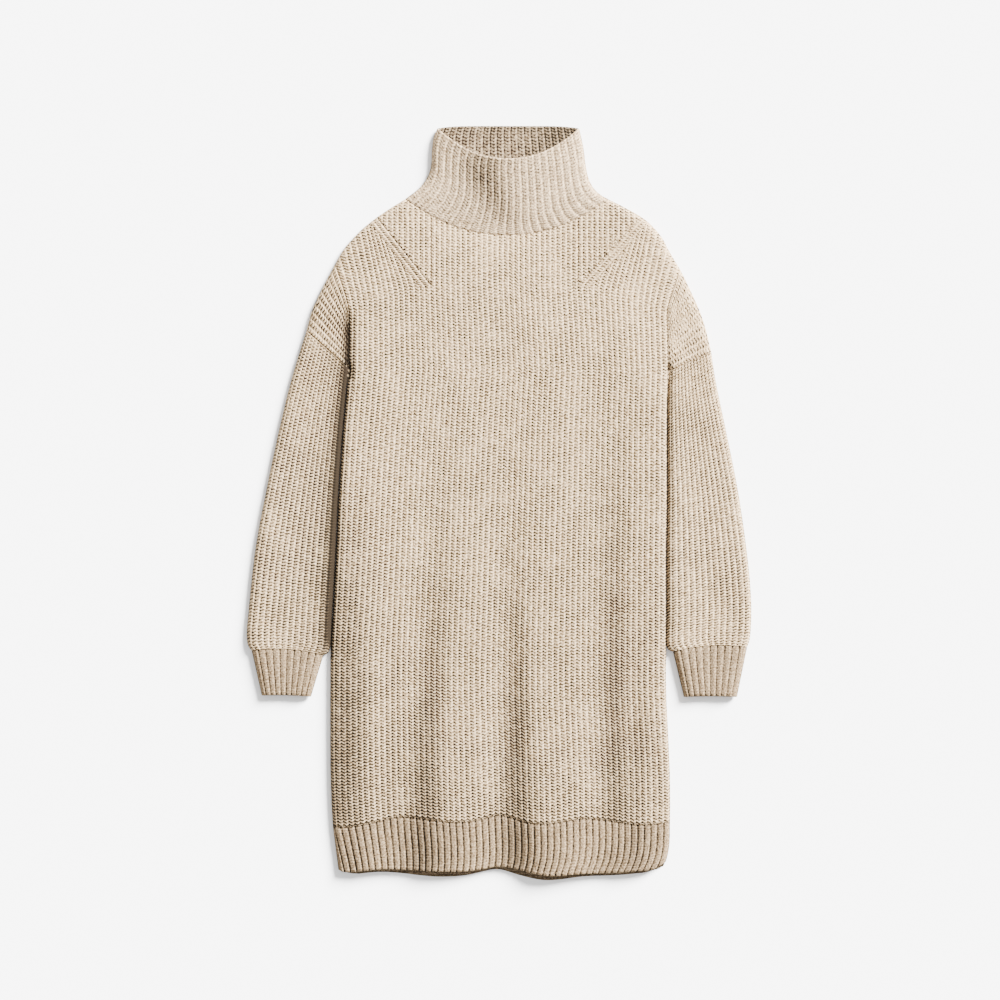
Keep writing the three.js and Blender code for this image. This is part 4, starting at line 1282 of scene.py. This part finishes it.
def knitMaterial(name, yarn, depth):
    # Yarn with painted shade on the left leg of each stitch, as if the light came from the right, painted
    # shade in the gaps between ribs and stitches, and a fine mixed fleck.
    paint = Paint(name)
    place = paint.node("ShaderNodeUVMap", {"uv_map": "knit"})
    rib = paint.node("ShaderNodeSeparateXYZ", None, {0: place})
    course = paint.node("ShaderNodeSeparateXYZ", None, {0: place}, output=1)
    side = abs((rib % 1.0) * 2.0 - 1.0)  # 1 in the valley, 0 on the middle
    stitch = (course - side * yarn["slant"] + yarn["slant"] / 2) % 1.0
    gap = 1.0 - abs(stitch * 2.0 - 1.0)  # 1 between two stitches
    valley = paint.steps(side, yarn["thin"], 0.97)
    between = paint.steps(gap, 0.2, 1.0)
    hole = valley * paint.steps(gap, 0.1, 0.9)
    middle = paint.steps(1.0 - side, 0.45, 0.95)
    middleHole = middle * paint.steps(gap, 0.1, 0.9)
    # Painted shade: the left leg of each stitch darker, as if the light fell from the right.
    leg = paint.steps(rib % 1.0, 0.4, 0.6) * (-2 * yarn["lean"]) + (1 + yarn["lean"])
    shade = paint.node("ShaderNodeAttribute", {"attribute_name": "shade"}, output=2)
    flat = paint.node("ShaderNodeTexCoord", output=3)
    fine = {"Vector": flat, "Scale": 520.0, "Detail": 2.0, "Roughness": 0.75}
    grain = paint.node("ShaderNodeTexNoise", None, fine)
    patch = paint.node("ShaderNodeTexNoise", None, {"Vector": flat, "Scale": 26.0, "Detail": 2.0})
    mottle = paint.node("ShaderNodeTexNoise", None, {"Vector": flat, "Scale": 240.0, "Detail": 1.0})
    fleck = paint.steps(grain, 0.4, 0.62)
    cloudy = paint.steps(patch, 0.35, 0.65)
    # Painted shade in the valleys, holes and grooves of the knit, deepened by the painted shade of the
    # shade attribute.
    dark = hole * yarn["hole"] + between * (1 - valley) * leg * yarn["groove"] + valley * yarn["valley"]
    dark = dark + middle * yarn["middle"] + middleHole * yarn["middleHole"]
    uneven = cloudy * 0.35 + paint.steps(mottle, 0.36, 0.64) * 0.7 + 0.5
    dark = dark * uneven * (shade * 0.35 + 1.0) + shade * 0.9
    dark = paint.node("ShaderNodeClamp", None, {"Value": dark})
    colour = paint.blend(fleck * yarn["fleck"], yarn["light"], yarn["speck"])
    colour = paint.blend(dark, colour, yarn["dark"])
    relief = (1 - gap) * 0.6 - hole * 0.9 + grain * 0.5
    bumped = paint.node("ShaderNodeBump", None, {"Strength": 0.5, "Distance": depth, "Height": relief})
    paint.fill(paint.surface, {"Base Color": colour, "Normal": bumped, "Roughness": 0.95})
    paint.fill(paint.surface, {"Specular IOR Level": 0.08, "Sheen Weight": 0.02, "Sheen Roughness": 0.3})
    return paint.material


bodyYarn = knitMaterial("body knit", yarns["body"], 0.0006)
ribYarn = knitMaterial("rib knit", yarns["rib"], 0.0005)
collarYarn = knitMaterial("collar knit", yarns["collar"], 0.0005)
print("materials made")

pieces = {
    "front": makeFront(bodyYarn),
    "back": makeBack(bodyYarn),
    "hem_front": makeHem(ribYarn),
    "hem_back": makeHemBack(ribYarn),
    "collar": makeCollar(collarYarn),
}
for side in ("left", "right"):
    pieces["sleeve_" + side] = makeSleeve(side, bodyYarn)
    pieces["cuff_" + side] = makeCuff(side, ribYarn)
for node, piece in pieces.items():
    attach(piece, "root")
    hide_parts(node)
    "body_knit" if node in ("front", "back") or node.startswith("sleeve") else "rib_knit"
print("pieces in place")

studio = {
    "floorColour": (0.9, 0.9, 0.9, 1),
    "floorReach": 60.0,
    "floorDrop": 0.0002,
    "worldStrength": 1.3,
    "keyStrength": 52.0,
    "keyFrom": (0.56, 0.54, 0.38),  # from the upper right, fairly low
    "keySoftness": 0.42,
}
key = bpy.data.lights.new("key light", "SUN")
key.energy = studio["keyStrength"]
key.angle = studio["keySoftness"]
lamp = bpy.data.objects.new("key light", key)
bpy.context.scene.collection.objects.link(lamp)
lamp.rotation_euler = Vector(studio["keyFrom"]).to_track_quat("Z", "Y").to_euler()
floorMesh = bpy.data.meshes.new("floor")
reach = studio["floorReach"]
corners = [(-reach, -reach, 0), (reach, -reach, 0), (reach, reach, 0), (-reach, reach, 0)]
floorMesh.from_pydata(corners, [], [(0, 1, 2, 3)])
floor = bpy.data.objects.new("floor", floorMesh)
bpy.context.scene.collection.objects.link(floor)
floor.location.z = -studio["floorDrop"]
floorPaint = Paint("studio floor")
floorPaint.fill(floorPaint.surface, {"Base Color": studio["floorColour"], "Roughness": 0.9})
floorPaint.fill(floorPaint.surface, {"Specular IOR Level": 0.1})
floorMesh.materials.append(floorPaint.material)
world = bpy.data.worlds.new("studio")
world.use_nodes = True
world.node_tree.nodes["Background"].inputs[0].default_value = (1, 1, 1, 1)
world.node_tree.nodes["Background"].inputs[1].default_value = studio["worldStrength"]
bpy.context.scene.world = world

view = {"middle": (0.0013, 0.00065), "height": 3.25, "lens": 90}
camera = bpy.data.objects.new("camera", bpy.data.cameras.new("camera"))
bpy.context.scene.collection.objects.link(camera)
camera.location = (*view["middle"], view["height"])
camera.data.lens = view["lens"]
bpy.context.scene.camera = camera
print("studio set")
